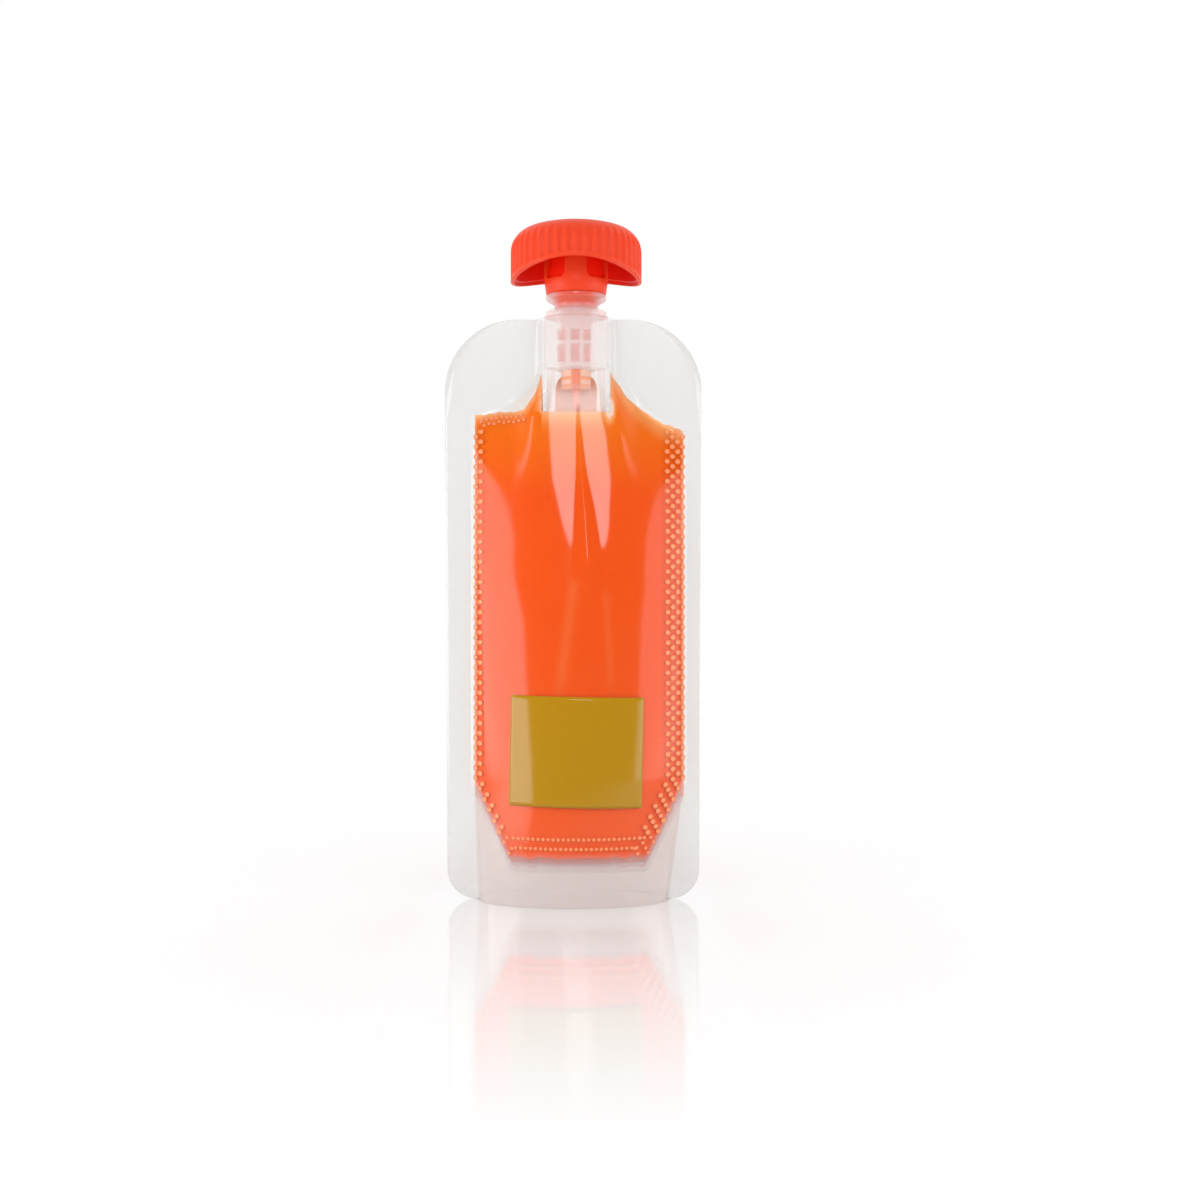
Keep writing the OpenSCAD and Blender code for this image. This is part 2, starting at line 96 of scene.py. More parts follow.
# Label
LABEL_W = 37
LABEL_H = 30.6
LABEL_Z = 43
LABEL_X = 1

# Spout
SPOUT_X = 0.8
BOAT_Z = FILM_H - 14.2
LEG_Z = BOAT_Z - 15
NECK_Z = BOAT_Z - 1
NECK_HALF_W = 9.2 + 1.5
NECK_DEPTH = 5.8 + 0.45 + 0.15


# --- Shape of the pouch ---


def mix(a, b, t):
    return a + (b - a) * t


def clamp01(t):
    return min(1.0, max(0.0, t))


def span(t, a, b):
    return clamp01((t - a) / (b - a))


def ease(t):
    t = clamp01(t)
    return t * t * (3 - 2 * t)


def rise(t, a, b):
    """0 up to a, 1 from b on, and smooth between."""
    return ease(span(t, a, b))


def evenly(a, b, steps):
    """Values from a to b at even steps, with both ends."""
    return [mix(a, b, k / steps) for k in range(steps + 1)]


def along(t, points):
    """Value at t on straight stretches through (place, value) points in rising order."""
    for (t0, v0), (t1, v1) in zip(points, points[1:]):
        if t <= t1:
            return mix(v0, v1, span(t, t0, t1))
    return points[-1][1]


def edge_x(z):
    """Half the film's width at height z."""
    side = FILM_W / 2 - FILM_TAPER / 2 * (1 - z / FILM_H)
    if z < FOOT_CORNER_R:
        return side - FOOT_CORNER_R + math.sqrt(FOOT_CORNER_R**2 - (FOOT_CORNER_R - z) ** 2)
    up = z - FILM_H + TOP_CORNER_R
    if up > 0:
        return side - TOP_CORNER_R + math.sqrt(max(0, TOP_CORNER_R**2 - up**2))
    return side


def pocket_x(z, body, shoulder_z, curve, neck):
    """Distance of the pocket's side from the middle: tapered foot, straight body, curved shoulder."""
    if z < CORNER_SEAL_Z:
        return mix(FOOT_OPEN, body, z / CORNER_SEAL_Z)
    return mix(body, neck, 1 - (1 - span(z, shoulder_z, NECK_Z)) ** curve)


def left_x(z):
    return -pocket_x(z, POCKET_LEFT, LEFT_SHOULDER_Z, LEFT_SHOULDER_CURVE, NECK_HALF_W - SPOUT_X)


def right_x(z):
    return pocket_x(z, POCKET_RIGHT, RIGHT_SHOULDER_Z, RIGHT_SHOULDER_CURVE, NECK_HALF_W + SPOUT_X)


def turn_up(share, curve):
    return 1 - (1 - share) ** (1 / curve)


def shoulder_z(x):
    """Height of the pocket's shoulder, the inverse of its sides' curve."""
    if x < SPOUT_X:
        share = span(x, -POCKET_LEFT, SPOUT_X - NECK_HALF_W)
        return mix(LEFT_SHOULDER_Z, NECK_Z, turn_up(share, LEFT_SHOULDER_CURVE))
    share = span(x, POCKET_RIGHT, SPOUT_X + NECK_HALF_W)
    return mix(RIGHT_SHOULDER_Z, NECK_Z, turn_up(share, RIGHT_SHOULDER_CURVE))


def mid_depth(z):
    """Half the pouch's thickness in its middle."""
    if z < FULL_Z:
        return mix(FOOT_DEPTH / 2, BULGE / 2, ease(z / FULL_Z))
    return mix(BULGE / 2, NECK_DEPTH, rise(z, FULL_Z, NECK_Z))


def fullness(z):
    """Power of the pocket's cross-section: the lower, the squarer it is."""
    body = mix(FOOT_FULLNESS, BODY_FULLNESS, ease(z / CORNER_SEAL_Z))
    return mix(body, NECK_FULLNESS, rise(z, mix(FULL_Z, NECK_Z, 0.5), NECK_Z))


# The film is drawn flat between the spout's legs: a tongue that narrows downwards, in (z, x)
TONGUE_TOP_Z = 136
TONGUE_LOW_Z = 84
TONGUE_LEFT = [(84, 2.2), (97, 0.8), (104, -1.6), (119, -4.9), (136, -6.2)]
TONGUE_RIGHT = [(84, 3.6), (95.5, 9), (119, 9.8), (136, 7.6)]
TONGUE_FULL = 0.4  # the share of its height above which it is fully drawn in
TONGUE_CREASE = 1.5  # 2 is smooth at the tongue's edge, and less makes a crease
SHOULDER_TAPER = 45  # the pocket thins over this height below its shoulders
SHOULDER_ROUND = 3
TENT_HALF_W = 19  # how far to the side the spout still holds the film out

# A ridge parts the tongue in two: its centre and half width as (z, x), and the slope of its sides
RIDGE_MIDDLE = [(84, 4.4), (96.5, 4.2), (110, 3.3), (121, 2.35), (136, 1.5)]
RIDGE_HALF_W = [(84, 4.4), (96.5, 4.0), (110, 2.7), (121, 1.35), (136, 0.5)]
RIDGE_FULL_Z = 97
RIDGE_END = 6  # how far it runs on above the tongue
RIDGE_SLOPE = 0.23
RIDGE_ROUND = 0.06


def pillow(x, z):
    """Distance from the mid-plane to the plain pocket wall, as in the CAD model."""
    left, right = left_x(z), right_x(z)
    u = (2 * x - left - right) / (right - left)
    if abs(u) >= 1:
        return 0.0
    return mid_depth(z) * (1 - u * u) ** fullness(z)


def front_depth(x, z):
    """The front wall: the pillow with its tongue, ridge, creases and thinner shoulders."""
    left, right = left_x(z), right_x(z)
    if not left < x < right:
        return 0.0
    tongue = rise(z, TONGUE_LOW_Z, mix(TONGUE_LOW_Z, TONGUE_TOP_Z, TONGUE_FULL))
    middle = (left + right) / 2
    low = mix(middle, along(z, TONGUE_LEFT), tongue)
    high = mix(middle, along(z, TONGUE_RIGHT), tongue)
    u = (low - x) / (low - left) if x < low else (x - high) / (right - high) if x > high else 0
    body = mid_depth(z) * (1 - u ** mix(2, TONGUE_CREASE, tongue)) ** fullness(z)
    return body * thinning(x, z) + ridge(x, z)


def thinning(x, z):
    """Share of the pillow's depth that is left below the shoulders; the spout holds it full."""
    room = span(shoulder_z(x) - z, 0, SHOULDER_TAPER)
    tent = 1 - rise(abs(x - SPOUT_X), NECK_HALF_W, TENT_HALF_W)
    return mix(1 - (1 - room) ** SHOULDER_ROUND, 1, tent)


def ridge(x, z):
    if z < TONGUE_LOW_Z:
        return 0.0
    half = along(z, RIDGE_HALF_W)
    s = math.hypot((x - along(z, RIDGE_MIDDLE)) / half, RIDGE_ROUND)
    low_end = rise(z, TONGUE_LOW_Z, RIDGE_FULL_Z)
    fade = low_end * (1 - rise(z, TONGUE_TOP_Z, TONGUE_TOP_Z + RIDGE_END))
    return RIDGE_SLOPE * half * fade * max(0, 1 - s)


def back_depth(x, z):
    return pillow(x, z) * thinning(x, z)


WAVE = 0.06
WAVE_W = 8
WAVE_H = 70


def waviness(x, z):
    """Slow upright waves that both films share."""
    return WAVE * noise.noise((x / WAVE_W, 0, z / WAVE_H))


def front_y(x, z, out=0.0):
    return waviness(x, z) - front_depth(x, z) - WELD_GAP / 2 - out


def back_y(x, z, out=0.0):
    return waviness(x, z) + back_depth(x, z) + WELD_GAP / 2 + out


def seal_z(x):
    """Height of the gusset's weld line."""
    level_left, level_right = POCKET_MID - SKIRT_LEVEL_W / 2, POCKET_MID + SKIRT_LEVEL_W / 2
    off = max(0, level_left - x, x - level_right)
    slope = (CORNER_SEAL_Z - SKIRT_H) / ((POCKET_LEFT + POCKET_RIGHT - SKIRT_LEVEL_W) / 2)
    return min(SKIRT_H + slope * off, CORNER_SEAL_Z - GUSSET_INSET)


def sag(x, across):
    """How far the gusset's floor hangs below its weld, with across from -1 at the front to 1."""
    return FLOOR_SAG * (1 - across * across) * span(seal_z(x), 0, SKIRT_H)


def inner_walls(x, z, gap, least):
    """Front and back of what lies a gap inside the walls, and at least so far from the mid-plane."""
    wave = waviness(x, z)
    return wave - max(least, front_depth(x, z) - gap), wave + max(least, back_depth(x, z) - gap)


# --- Meshes ---


def new_object(name, data):
    thing = bpy.data.objects.new(name, data)
    bpy.context.scene.collection.objects.link(thing)
    return thing


def new_piece(name, vertices, faces, material):
    """An object of the given form, from vertices in millimetres."""
    mesh = bpy.data.meshes.new(name)
    mesh.from_pydata([(x * MM, y * MM, z * MM) for x, y, z in vertices], [], faces)
    mesh.update()
    mesh.polygons.foreach_set("use_smooth", [True] * len(faces))
    mesh.materials.append(material)
    return new_object(name, mesh)


def flipped(faces):
    return [face[::-1] for face in faces]


def grid_quads(rows, cols, first=0, ring_rows=False, ring_cols=False):
    """Quads of a grid of points, whose last row or column may join on to its first one."""
    quads = []
    for j in range(rows if ring_rows else rows - 1):
        for i in range(cols if ring_cols else cols - 1):
            row, above, k = first + j * cols, first + (j + 1) % rows * cols, (i + 1) % cols
            quads.append((row + i, row + k, above + k, above + i))
    return quads


def skin_faces(rows, cols):
    """Faces of a closed skin between two grids of the same size, the outer one first."""
    half = rows * cols
    rim = [j * cols for j in range(rows - 1, 0, -1)] + list(range(cols))
    rim += [j * cols + cols - 1 for j in range(1, rows)] + list(range(half - 2, half - cols, -1))
    faces = grid_quads(rows, cols) + flipped(grid_quads(rows, cols, half))
    return faces + [(b, a, a + half, b + half) for a, b in zip(rim, rim[1:] + rim[:1])]


TURN = 72  # facets in a turn
AXIS_R = 0.05  # how near to the axis a turned form without a bore begins and ends


def at_angle(r, a, z):
    """A point round the spout's axis."""
    return (SPOUT_X + r * math.cos(a), r * math.sin(a), z)


class Mesh:
    """Vertices and faces of closed forms that make one piece, with a shade at each vertex."""

    def __init__(self):
        self.vertices, self.faces, self.shades = [], [], []

    def add(self, vertices, faces, shades=None):
        first = len(self.vertices)
        self.vertices += vertices
        self.shades += shades or [0.0] * len(vertices)
        self.faces += [tuple(first + v for v in face) for face in faces]

    def lathe(self, profile, closed=True, shades=None):
        """Turn a profile of (radius, height) about the spout's axis."""
        n = len(profile)
        turns = [2 * math.pi * s / TURN for s in range(TURN)]
        vertices = [at_angle(r, a, z) for a in turns for r, z in profile]
        quads = grid_quads(TURN, n, ring_rows=True, ring_cols=closed)
        faces = [(a, d, c, b) for a, b, c, d in quads]
        if not closed:
            faces.append(tuple(s * n for s in range(TURN))[::-1])
            faces.append(tuple(s * n + n - 1 for s in range(TURN)))
        self.add(vertices, faces, shades and shades * TURN)

    def loft(self, loops, shades=None):
        """Skin between loops of the same length, with both ends closed."""
        n, count = len(loops[0]), len(loops)
        faces = [tuple(range(n))[::-1], tuple(range(count * n - n, count * n))]
        faces += grid_quads(count, n, ring_cols=True)
        self.add([point for loop in loops for point in loop], faces, shades and shades * count)

    def piece(self, name, material, sharp=None):
        """The finished object, with edges sharper than that many degrees left sharp."""
        piece = new_piece(name, self.vertices, self.faces, material)
        if sharp:
            piece.data.set_sharp_from_angle(angle=math.radians(sharp))
        return piece


def set_attribute(piece, name, values):
    layer = piece.data.attributes.new(name, "FLOAT", "POINT")
    layer.data.foreach_set("value", values)


# --- Materials ---


def feed(socket, value):
    """Join an input to the output that is given, or set its value."""
    if isinstance(value, bpy.types.NodeSocket):
        socket.id_data.links.new(value, socket)
    else:
        socket.default_value = value


def add(nodes, kind, *first, output=0, **named):
    """An output of a new node, with its first inputs in order, and properties and other inputs by name."""
    node = nodes.new("ShaderNode" + kind)
    for key, value in named.items():
        if hasattr(node, key):
            setattr(node, key, value)
        else:
            feed(node.inputs[key.replace("_", " ")], value)
    for socket, value in zip(node.inputs, first):
        feed(socket, value)
    return node.outputs[output]


def build(owner, surface, *values):
    """Give a material or world the surface that the function makes among its nodes."""
    owner.use_nodes = True
    nodes = owner.node_tree.nodes
    nodes.clear()
    kind = "World" if isinstance(owner, bpy.types.World) else "Material"
    feed(nodes.new("ShaderNodeOutput" + kind).inputs["Surface"], surface(nodes, *values))
    return owner


def make_material(name, surface, *values):
    return build(bpy.data.materials.new(name), surface, *values)


def map_range(nodes, value, low, high, at_low, at_high):
    return add(nodes, "MapRange", value, low, high, at_low, at_high, output="Result")


def calculate(nodes, operation, *values):
    return add(nodes, "Math", *values, operation=operation)


def mix_colours(nodes, factor, a, b, blend="MIX"):
    return add(nodes, "Mix", output="Result", data_type="RGBA", blend_type=blend, Factor=factor, A=a, B=b)


def ramp(nodes, value, stops):
    """Colours at places from 0 to 1."""
    colour = add(nodes, "ValToRGB", value)
    elements = colour.node.color_ramp.elements
    while len(elements) < len(stops):
        elements.new(0.5)
    for element, (position, stop) in zip(elements, stops):
        element.position, element.color = position, stop
    return colour


def axes(nodes, place, names):
    return [add(nodes, "SeparateXYZ", place, output=name) for name in names]


def rays(nodes, *kinds):
    """1 for a ray of each kind."""
    return [add(nodes, "LightPath", output=f"Is {kind} Ray") for kind in kinds]


def attribute(nodes, name):
    """A value that the mesh carries at its points."""
    return add(nodes, "Attribute", output="Fac", attribute_name=name)


def linear(r, g, b):
    """An sRGB colour of 0 to 255 as linear RGBA."""

    def one(c):
        c /= 255
        return c / 12.92 if c <= 0.04045 else ((c + 0.055) / 1.055) ** 2.4

    return (one(r), one(g), one(b), 1.0)


def noise_bump(nodes, scale, height, stretch=(1, 1, 1)):
    """Fine noise in object space: the normal of its bump, and its value."""
    place = add(nodes, "Mapping", Vector=add(nodes, "TexCoord", output="Object"), Scale=stretch)
    value = add(nodes, "TexNoise", Vector=place, Scale=scale, Detail=3.0)
    return add(nodes, "Bump", Strength=1.0, Distance=height, Height=value), value


def solid(nodes, colour, normal, roughness, specular=0.5, **more):
    """A plain body with a gloss on it."""
    look = {"Base_Color": colour, "Normal": normal, "Roughness": roughness, **more}
    return add(nodes, "BsdfPrincipled", Specular_IOR_Level=specular, **look)


FUSED_SHINE = 0.25  # what is left of the film's gloss where it is fused to another piece


def film_surface(nodes, tint, haze, clear_tint):
    """Clear film: see-through, hazy where it is welded, and glossy on the faces that light enters."""
    normal, _ = noise_bump(nodes, 160, 0.02 * MM, (1, 1, 0.25))
    clear = add(nodes, "BsdfTransparent", Color=clear_tint)
    hazy = add(nodes, "BsdfPrincipled", Base_Color=tint, Roughness=0.45)
    body = add(nodes, "MixShader", map_range(nodes, attribute(nodes, "welded"), 0, 1, 0, haze), clear, hazy)
    outside = calculate(nodes, "SUBTRACT", 1.0, add(nodes, "NewGeometry", output="Backfacing"))
    shine = calculate(nodes, "MULTIPLY", add(nodes, "Fresnel", IOR=1.5, Normal=normal), outside)
    left = map_range(nodes, attribute(nodes, "fused"), 0, 1, 1, FUSED_SHINE)
    gloss = add(nodes, "BsdfGlossy", Roughness=0.13, Normal=normal)
    return add(nodes, "MixShader", calculate(nodes, "MULTIPLY", shine, left), body, gloss)


# The puree's ramp turns lighter and yellower near the top: painted light from overhead
PUREE_RAMP_H = 140 * MM  # height over which the puree's colour changes, from the table up
PUREE_STOPS = [
    (0.0, linear(255, 94, 26)),
    (0.25, linear(255, 94, 26)),
    (0.5, linear(255, 88, 6)),
    (0.82, linear(255, 88, 0)),
    (0.95, linear(255, 116, 0)),
]
# Pale colours of thin puree and of air beside it: painted backlight from the white behind the pouch
PUREE_BACKLIT_THIN = linear(255, 186, 116)
PUREE_BACKLIT_AIR = linear(255, 222, 208)
PUREE_PULP = 0.12


def puree_surface(nodes):
    """Smooth puree, brighter at the top for painted overhead light, and paler where the layer is thin for
    painted backlight.
    """
    (z,) = axes(nodes, add(nodes, "TexCoord", output="Object"), "Z")
    height = map_range(nodes, z, 0, PUREE_RAMP_H, 0, 1)
    normal, pulp = noise_bump(nodes, 700, 0.03 * MM)
    mottled = mix_colours(nodes, PUREE_PULP, ramp(nodes, height, PUREE_STOPS), pulp, "MULTIPLY")
    thin = attribute(nodes, "thin")
    pale = mix_colours(nodes, map_range(nodes, thin, 0.85, 1, 0, 1), PUREE_BACKLIT_THIN, PUREE_BACKLIT_AIR)
    return solid(nodes, mix_colours(nodes, thin, mottled, pale), normal, 0.5, 0.1)


def print_surface(nodes):
    """Olive-gold ink printed on the film, with a fine grain."""
    normal, grain = noise_bump(nodes, 1500, 0.01 * MM)
    ink = ramp(nodes, grain, [(0.0, linear(174, 126, 2)), (1.0, linear(186, 138, 8))])
    return solid(nodes, ink, normal, 0.1)


def spout_surface(nodes):
    """Clear moulded plastic, with a painted pink glow for the light of the cap and the puree in it, deeper
    in its windows.
    """
    normal, _ = noise_bump(nodes, 90, 0.02 * MM)
    tint = mix_colours(nodes, attribute(nodes, "warmth"), linear(255, 244, 242), linear(240, 104, 84))
    return solid(nodes, tint, normal, 0.18, Alpha=attribute(nodes, "opacity"))


def plastic_surface(nodes, colour, roughness, grain, height, specular=0.35, bounce_colour=None):
    """Moulded plastic with a fine grain, and a second colour where the mesh says that it is inside: painted
    bounce light.
    """
    normal, _ = noise_bump(nodes, grain, height)
    if bounce_colour:
        colour = mix_colours(nodes, attribute(nodes, "inside"), colour, bounce_colour)
    return solid(nodes, colour, normal, roughness, specular)


# --- Pieces ---

SEAL_COLS = 7
POCKET_COLS = 44
LEAST_STRIP = 0.6
BODY_ROWS = 120
CORNER_ROWS = 16
FOOT_ROWS = 8


def film_heights():
    """Rows of the film's grid, closer together at the round corners."""
    foot = [FOOT_CORNER_R * (1 - math.cos(a)) for a in evenly(0, math.pi / 2, FOOT_ROWS)]
    body = evenly(FOOT_CORNER_R, FILM_H - TOP_CORNER_R, BODY_ROWS)
    top = [FILM_H - TOP_CORNER_R * (1 - math.sin(a)) for a in evenly(0, math.pi / 2, CORNER_ROWS)]
    return foot[:-1] + body[:-1] + top


def film_columns(z):
    """Places across the film at height z: left seal, pocket up to the ridge and on, right seal."""
    left, right = max(left_x(z), LEAST_STRIP - edge_x(z)), min(right_x(z), edge_x(z) - LEAST_STRIP)
    middle = min(max(along(z, RIDGE_MIDDLE), left + LEAST_STRIP), right - LEAST_STRIP)
    rounded = [(1 - math.cos(a)) / 2 for a in evenly(0, math.pi, POCKET_COLS)]
    pocket = [mix(left, middle, t) for t in rounded[:-1]] + [mix(middle, right, t) for t in rounded]
    seal_left, seal_right = evenly(-edge_x(z), left, SEAL_COLS), evenly(right, edge_x(z), SEAL_COLS)
    return seal_left[:-1] + pocket + seal_right[1:]


def make_film(name, wall_y, flip, material):
    """One film, as a closed skin whose outer and inner faces follow the pocket's wall."""
    heights = film_heights()
    places = [(x, z) for z in heights for x in film_columns(z)]
    cols = len(film_columns(0))
    vertices = [(x, wall_y(x, z, out), z) for out in (FILM_T, 0) for x, z in places]
    faces = skin_faces(len(heights), cols)
    film = new_piece(name, vertices, flipped(faces) if flip else faces, material)
    welded = [(1 - wetted(x, z)) * (1 - 0.8 * over_boat(x, z)) for x, z in places]
    fused = [max(over_boat(x, z), foot_crease(x, z)) for x, z in places]
    set_attribute(film, "welded", welded + welded)
    set_attribute(film, "fused", fused + fused)
    return film


def over_boat(x, z):
    """1 where the film lies fused on the spout, which leaves it clear and dulls its gloss."""
    return rise(BOAT_A - abs(x - SPOUT_X), -1, 1) * rise(z - LEG_Z, 6, 11)


def foot_crease(x, z):
    """1 along the upright creases beside the foot, which the gusset's weld dulls."""
    beside = min(abs(x - left_x(z)), abs(x - right_x(z)))
    above = rise(z, CORNER_SEAL_Z - 3, CORNER_SEAL_Z + 3)
    return (1 - rise(beside, 0.8, 2.6)) * (1 - above)


WET_EDGE = 1.2


def wetted(x, z):
    """1 where puree lies against the film, and 0 where the film is welded or empty."""
    inside = min(x - left_x(z), right_x(z) - x, z - fill_low(x), fill_high(x) - z)
    return rise(inside, -WET_EDGE, WET_EDGE)


# Top of the filling beside the spout, in (x, z)
FILL_TOP_LEFT = [(-29, 137.6), (-24, 138.2), (-14, 139), (-11, 143), (-9.3, 149)]
FILL_TOP_RIGHT = [
    (9.8, 150.5), (13, 146.5), (15, 143), (19, 139.5), (25.8, 135.2), (31, 133.4), (32.2, 130.5)
]
FILL_MIDDLE_Z = 138
SPLIT_Z = 137.2  # below this the rows of the filling's grid lie level
FILL_BUMPS = 0.6
BUMP_W = 2.2
RAG_W = 2.6
SPOUT_ROOM = 9.2 + 0.45  # half the width of the space that the filling leaves the spout


def fill_high(x):
    """Height of the filling's top, which is level between the spout's legs."""
    bump = FILL_BUMPS * noise.noise((x / BUMP_W, 3, 0))
    if x < SPOUT_X - SPOUT_ROOM:
        return along(x, FILL_TOP_LEFT) + bump
    if x > SPOUT_X + SPOUT_ROOM:
        return along(x, FILL_TOP_RIGHT) + bump
    return FILL_MIDDLE_Z + bump / 2


def fill_low(x):
    """Height of the filling's ragged lower edge, just above the gusset's weld."""
    rag = FILL_BUMPS * (1 + noise.noise((x / RAG_W, 7, 0)))
    return seal_z(x) + FILM_GAP + FILM_T + rag


PUREE_INSET = 0.5
PUREE_LEAST = 0.12
PUREE_SIDE_STATIONS = 34
PUREE_MID_STATIONS = 26
PUREE_ROWS = 80
PUREE_TOP_ROWS = 14
FLOOR_COLS = 10
SPOUT_STEP = 0.1


def puree_stations():
    """Places across the filling: left of the spout, between its sides, and right of it."""
    left_end, right_end = PUREE_INSET - POCKET_LEFT, POCKET_RIGHT - PUREE_INSET
    near, far = SPOUT_X - SPOUT_ROOM, SPOUT_X + SPOUT_ROOM
    shares = [math.sin(math.pi / 2 * t**1.5) for t in evenly(0, 1, PUREE_SIDE_STATIONS)]
    left = [mix(left_end, near - SPOUT_STEP, share) for share in shares]
    middle = evenly(near + SPOUT_STEP, far - SPOUT_STEP, PUREE_MID_STATIONS)
    right = [mix(right_end, far + SPOUT_STEP, share) for share in shares[::-1]]
    return left + middle + right


def puree_loop(x):
    """The filling's cross-section at x: down the front, over the gusset, up the back."""
    low, high = fill_low(x), fill_high(x)
    split = min(SPLIT_Z, high - 0.5)
    heights = evenly(split, high, PUREE_TOP_ROWS)[:0:-1] + evenly(low, split, PUREE_ROWS)[::-1]
    walls = [(*inner_walls(x, z, FILM_GAP, PUREE_LEAST), z) for z in heights]
    loop = [(x, front, z) for front, back, z in walls]
    front, back, _ = walls[-1]
    for t in evenly(0, 1, FLOOR_COLS)[1:-1]:
        loop.append((x, mix(front, back, t), low - sag(x, 2 * t - 1)))
    return loop + [(x, back, z) for front, back, z in walls[::-1]]


def make_puree(material):
    mesh = Mesh()
    mesh.loft([puree_loop(x) for x in puree_stations()])
    puree = mesh.piece("puree_fill", material, sharp=50)
    set_attribute(puree, "thin", [backlit_paleness(x, y, z) for x, y, z in mesh.vertices])
    return puree


THIN_EDGE = 3.6
# The air pocket is painted pale for the backdrop's light seen through it
AIR = (10.2, 139, 1.9, 4.6)  # a pocket of air beside the right leg: place and half size


def backlit_paleness(x, y, z):
    """How much painted backlight pales the filling: 0 inside, about 0.85 at its rim and 1 where air shows
    through.
    """
    if abs(x - SPOUT_X) < SPOUT_ROOM:
        rim = 0.97 * rise(z, FILL_MIDDLE_Z - 6, FILL_MIDDLE_Z + 3)
    else:
        side = min(x + POCKET_LEFT, POCKET_RIGHT - x)
        room = min(side * 2, (1 if x < 0 else 0.6) * (fill_high(x) - z))
        if z > FILL_MIDDLE_Z:
            room = min(room, 1.5 * (abs(x - SPOUT_X) - SPOUT_ROOM))
        rim = 0.85 * (1 - clamp01(room / THIN_EDGE)) ** 1.3
    off = math.hypot((x - AIR[0]) / AIR[2], (z - AIR[1]) / AIR[3])
    # The front alone gets the pale streaks of painted highlights
    painted_highlights = [highlight_streak(x, z, line) for line in HIGHLIGHT_STREAKS] if y < 0 else [0]
    return max(rim, 1 - rise(off, 0.6, 1.2), *painted_highlights)


# Painted highlight streaks on the front below the tongue, for light on the film's creases: foot and head as
# (x, z), half width, strength
HIGHLIGHT_STREAKS = [
    ((-4.2, 56), (0.6, 91), 2.6, 0.11),
    ((10.8, 58), (9.2, 88), 1.8, 0.08),
]


def highlight_streak(x, z, line):
    (x0, z0), (x1, z1), half, strength = line
    t = (z - z0) / (z1 - z0)
    ends = rise(t, -0.1, 0.3) * (1 - rise(t, 0.93, 1.04))
    return strength * ends * (1 - ease(abs(x - mix(x0, x1, t)) / half))


SKIRT_LEAST = 0.05  # least distance of the skirts from the mid-plane, at their sides


def make_gusset(material):
    """The gusset: up the front skirt, over the hanging floor and down the back skirt."""
    steps, skirt, floor, hazy_steps = 60, 10, 16, 8
    left_end, right_end = GUSSET_EDGE - POCKET_LEFT, POCKET_RIGHT - GUSSET_EDGE

    def skirt_side(z):
        return left_x(z) + GUSSET_EDGE, right_x(z) - GUSSET_EDGE

    def path(x, gap):
        top = seal_z(x)
        low, high = skirt_side(top)
        share = (x - low) / (high - low)
        columns = [(mix(*skirt_side(top * k / skirt), share), top * k / skirt) for k in range(skirt)]
        walls = [(sx, z, inner_walls(sx, z, gap, SKIRT_LEAST)) for sx, z in columns]
        y0 = waviness(x, top) - front_depth(x, top) + gap
        y1 = waviness(x, top) + back_depth(x, top) - gap
        lower = top - gap + FILM_GAP
        middle = [(x, mix(y0, y1, t), lower - sag(x, 2 * t - 1)) for t in evenly(0, 1, floor)]
        back = [(sx, y, z) for sx, z, (_, y) in walls]
        return [(sx, y, z) for sx, z, (y, _) in walls] + middle + back[::-1]

    stations = [mix(left_end, right_end, (1 - math.cos(a)) / 2) for a in evenly(0, math.pi, steps)]
    vertices = [point for gap in (FILM_GAP, FILM_GAP + FILM_T) for x in stations for point in path(x, gap)]
    cols = len(path(0, FILM_GAP))
    gusset = new_piece("foot_gusset", vertices, flipped(skin_faces(steps + 1, cols)), material)
    hazy = [rise(min(k, steps - k), 0, hazy_steps) for k in range(steps + 1) for _ in range(cols)]
    set_attribute(gusset, "welded", hazy + hazy)
    return gusset


LABEL_TILT = math.radians(1.2)
LABEL_T = 0.03
LABEL_GAP = 0.01


def make_label(material):
    cols, rows = 40, 32
    cos, sin = math.cos(LABEL_TILT), math.sin(LABEL_TILT)
    places = [
        (LABEL_X + a * cos + b * sin, LABEL_Z + b * cos - a * sin)
        for b in evenly(-LABEL_H / 2, LABEL_H / 2, rows)
        for a in evenly(-LABEL_W / 2, LABEL_W / 2, cols)
    ]
    under = FILM_T + LABEL_GAP
    vertices = [(x, front_y(x, z, out), z) for out in (under + LABEL_T, under) for x, z in places]
    return new_piece("printed_patch", vertices, skin_faces(rows + 1, cols + 1), material)


DOT_R = 0.72
DOT_RISE = 0.06
DOT_PITCH = 2.85  # from dot to dot in a column
COLUMN_PITCH = 1.5  # neighbouring columns are staggered by half a pitch
ROW_PITCH = 1.4  # from dot to dot in the rows above the foot
BORDER = 0.75
LEFT_COLUMNS = 2
RIGHT_COLUMNS = 4
FOOT_ROWS_Z = (16.4, 19.0)
FOOT_DOT_R = ROW_PITCH * 0.36
SHOULDER_ROWS = 2
SHOULDER_DOTS = 9
SHOULDER_START = 2.4  # from the left seal to the first dot below the shoulder
SHOULDER_DOT_R = DOT_R * 0.6
DOT_SIDES = 10
DOT_DOME = ((1.0, -0.1), (0.75, 0.6), (0.35, 0.95))  # rings of a dot, as shares of its radius and rise


def border_x(z, side):
    """The pocket's side, which runs inwards along the gusset's weld below its corners."""
    straight = POCKET_RIGHT if side > 0 else -POCKET_LEFT
    level = POCKET_MID + side * SKIRT_LEVEL_W / 2
    return mix(level, straight, min(1, (z - SKIRT_H) / (CORNER_SEAL_Z - SKIRT_H)))


